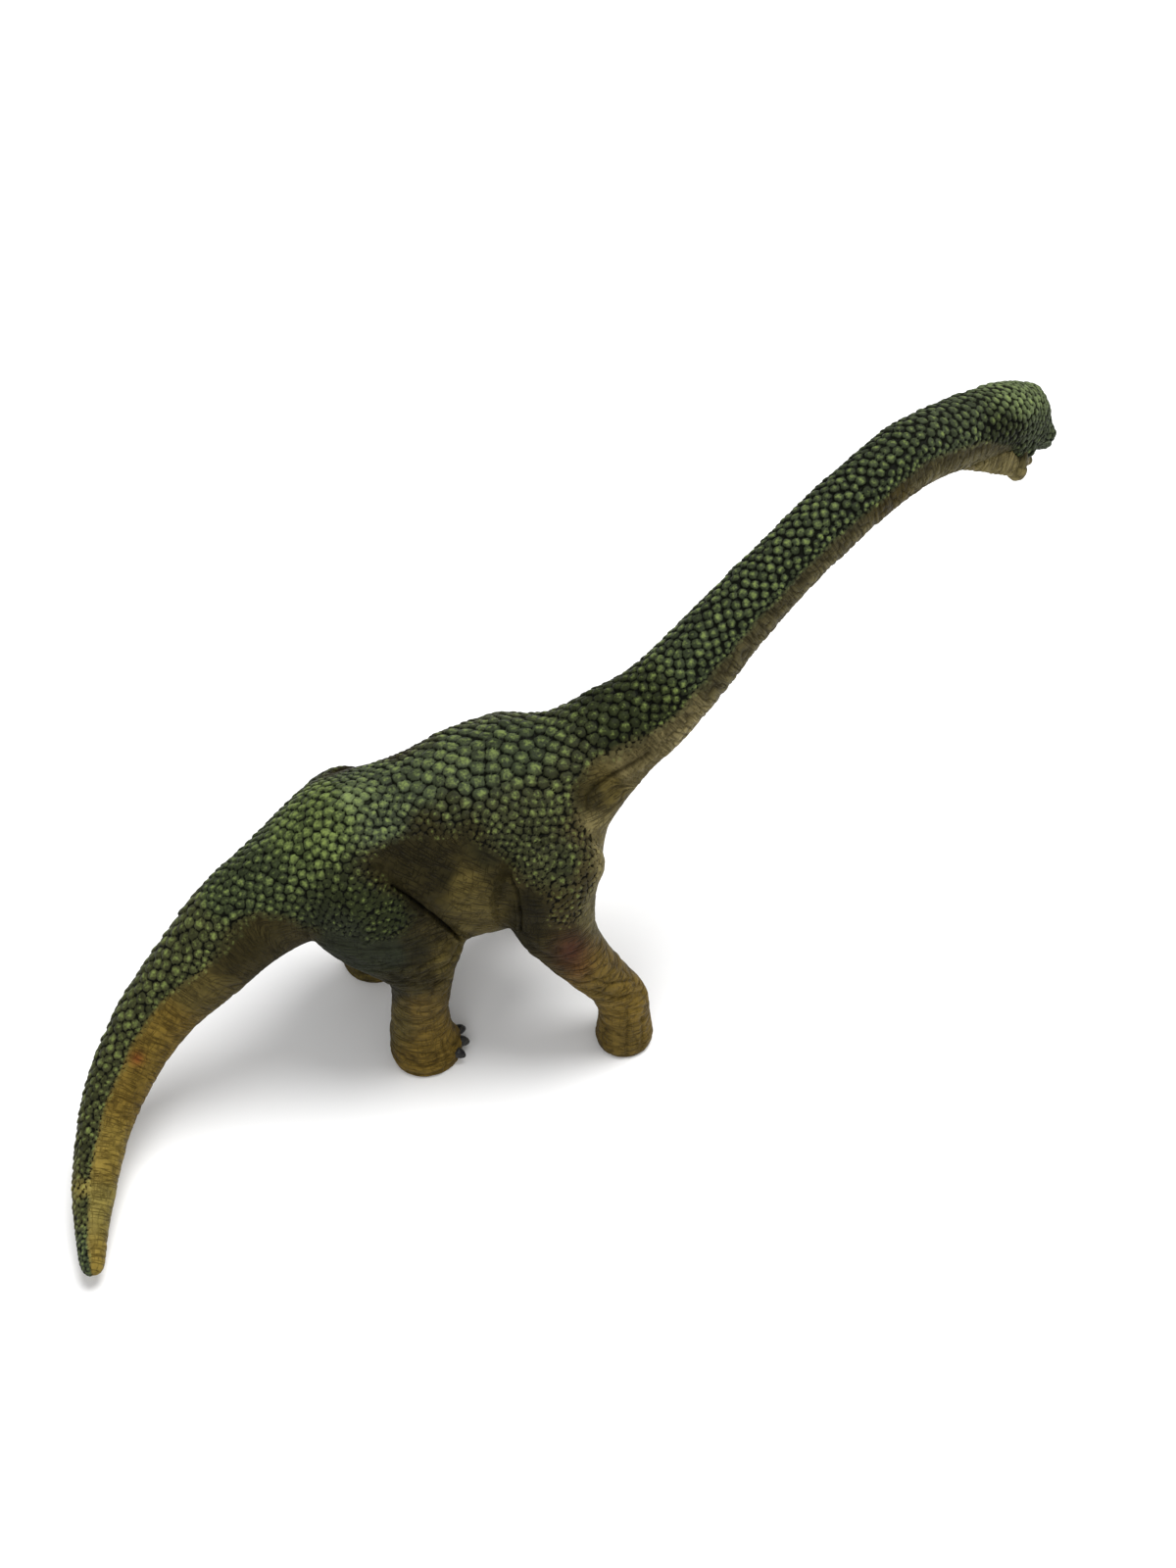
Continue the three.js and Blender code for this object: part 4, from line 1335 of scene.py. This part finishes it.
green = sum(bell(length(jaw_points - top) / 4.0) for top in tops)
bone_paint, top_paint = linear(PAINTS["sand"]), linear(PAINTS["bark"])
jaw_paint = bone_paint + (top_paint - bone_paint) * np.clip(1.3 * green, 0, 1)[:, None]
no_scales = np.zeros((len(jaw_points), 4))
jaw_looks = {
    "grain": jaw_grain,
    "skin_paint": np.c_[jaw_paint, 0.6 * groove],
    "scale_paint": no_scales,
    "relief": no_scales,
}
mesh = closed_mesh("lower_jaw_skin", jaw_points, jaw_quads, jaw_normals, jaw_looks)
show("lower_jaw_skin", mesh, SKIN, "bare_skin", "lower_jaw")


# Mouth lining, eyes and claws
def rounded(name, points, faces):
    return with_modifier(mesh_from(name, points, faces), "SUBSURF", levels=1)


# The lining follows the jaw, raised and smaller
LINING_RISE, LINING_SHARES = 1.2, (0.7, 0.6, 0.6)
LINING_STEP, LINING_SIDES = 1.2, 24
lining = jaw_rows[1:-1].copy()
lining[:, :3] += UP * LINING_RISE
lining[:, 3:] *= LINING_SHARES
lining_rings = rings_of(lining, even_places(lining, LINING_STEP), LINING_SIDES)
points_in, faces_in = closed(lining_rings)
show("mouth_lining", rounded("mouth_lining", points_in * MM, faces_in), MOUTH, "mouth")

for side, sign, eye in zip(("right", "left"), (-1, 1), EYES):
    ball, faces = closed(ball_rings(np.zeros(3), EYE_RADIUS * MM))
    piece = show(f"eye_{side}", rounded("eye", ball, faces), EYE_PAINT, "eye")
    outwards = sign * head_left + 0.5 * head_forward + 0.2 * UP
    piece.location = eye * MM
    piece.rotation_euler = Vector(outwards).to_track_quat("Z", "Y").to_euler()

CLAW_SIZE, CLAW_SIDES = np.array([5.0, 3.3, 3.7]), 24
CLAW_BEND, CLAW_TAPER = 0.07, 0.09  # down and inwards, towards the tip
for name in LEGS:
    for number, (centre, heading) in enumerate(claw_places(name), 1):
        ball, faces = closed(ball_rings(np.zeros(3), 0.5, CLAW_SIDES))
        ball = ball * CLAW_SIZE
        towards_tip = np.maximum(ball[:, 0], 0)
        ball[:, 2] -= CLAW_BEND * towards_tip**2
        ball[:, 1] *= 1 - CLAW_TAPER * towards_tip
        x, y, z = ball.T
        cosine, sine = cos(heading), sin(heading)
        spun = np.c_[x * cosine - y * sine, x * sine + y * cosine, z] + centre
        show(f"claw_{name}_{number}", rounded("claw", spun * MM, faces), CLAW, "claw")


# Floor, light and camera
def floor_paint():
    """Pale paper that glows white to the camera away from the figure and its shadow."""
    material, tree, inputs, place = new_material("floor", 0.9, 0.0)
    paper = mixed(tree, clouds(tree, place, 40.0), (0.93, 0.93, 0.93, 1), (0.95, 0.95, 0.95, 1))
    wire(inputs["Base Color"], paper)
    far = node(tree, "VectorMath", {0: place}, operation="LENGTH").outputs["Value"]
    to_camera = node(tree, "LightPath").outputs["Is Camera Ray"]
    glow = maths(tree, "MULTIPLY", to_camera, ramped(tree, far, 0.5, 1.4))
    inputs["Emission Color"].default_value = (1, 1, 1, 1)
    wire(inputs["Emission Strength"], glow)
    return material


FLOOR_HALF = 4.0
corners = [(-1, -1), (1, -1), (1, 1), (-1, 1)]
mesh = mesh_from("floor", [(x * FLOOR_HALF, y * FLOOR_HALF, 0) for x, y in corners], [(0, 1, 2, 3)])
mesh.materials.append(floor_paint())
floor = placed("floor", mesh)
floor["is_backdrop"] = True


def lamp(name, place, size, power):
    light = bpy.data.lights.new(name, "AREA")
    light.shape = "DISK"
    light.size = size
    light.energy = power
    made = placed(name, light)
    made.location = place
    made.rotation_euler = (-Vector(place)).to_track_quat("-Z", "Y").to_euler()


lamp("key", (1.0, 0.3, 4.3), 2.6, 178.0)
lamp("fill", (-1.4, -3.4, 2.6), 2.5, 45.0)

WORLD_LIGHT = 0.56
world = bpy.data.worlds.new("studio")
scene.world = world
world.use_nodes = True
to_camera = node(world.node_tree, "LightPath").outputs["Is Camera Ray"]
level = sum_of(world.node_tree, WORLD_LIGHT, (to_camera, 1 - WORLD_LIGHT))  # white behind
sky = world.node_tree.nodes["Background"]
sky.inputs["Color"].default_value = (1, 1, 1, 1)
wire(sky.inputs["Strength"], level)

camera_data = bpy.data.cameras.new("camera")
camera_data.sensor_width = 36
camera_data.lens = FOCAL_PX / FRAME_PX[1] * camera_data.sensor_width
camera_data.clip_end = 50
camera = placed("camera", camera_data)
camera.matrix_world = Matrix.Translation(Vector(EYE * MM)) @ Matrix(
    np.stack([RIGHT, OVER, BACK], axis=1).tolist()
).to_4x4()
scene.camera = camera
scene.view_settings.view_transform = "Standard"

sizes = {"cad": cad_box, "visual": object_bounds()}
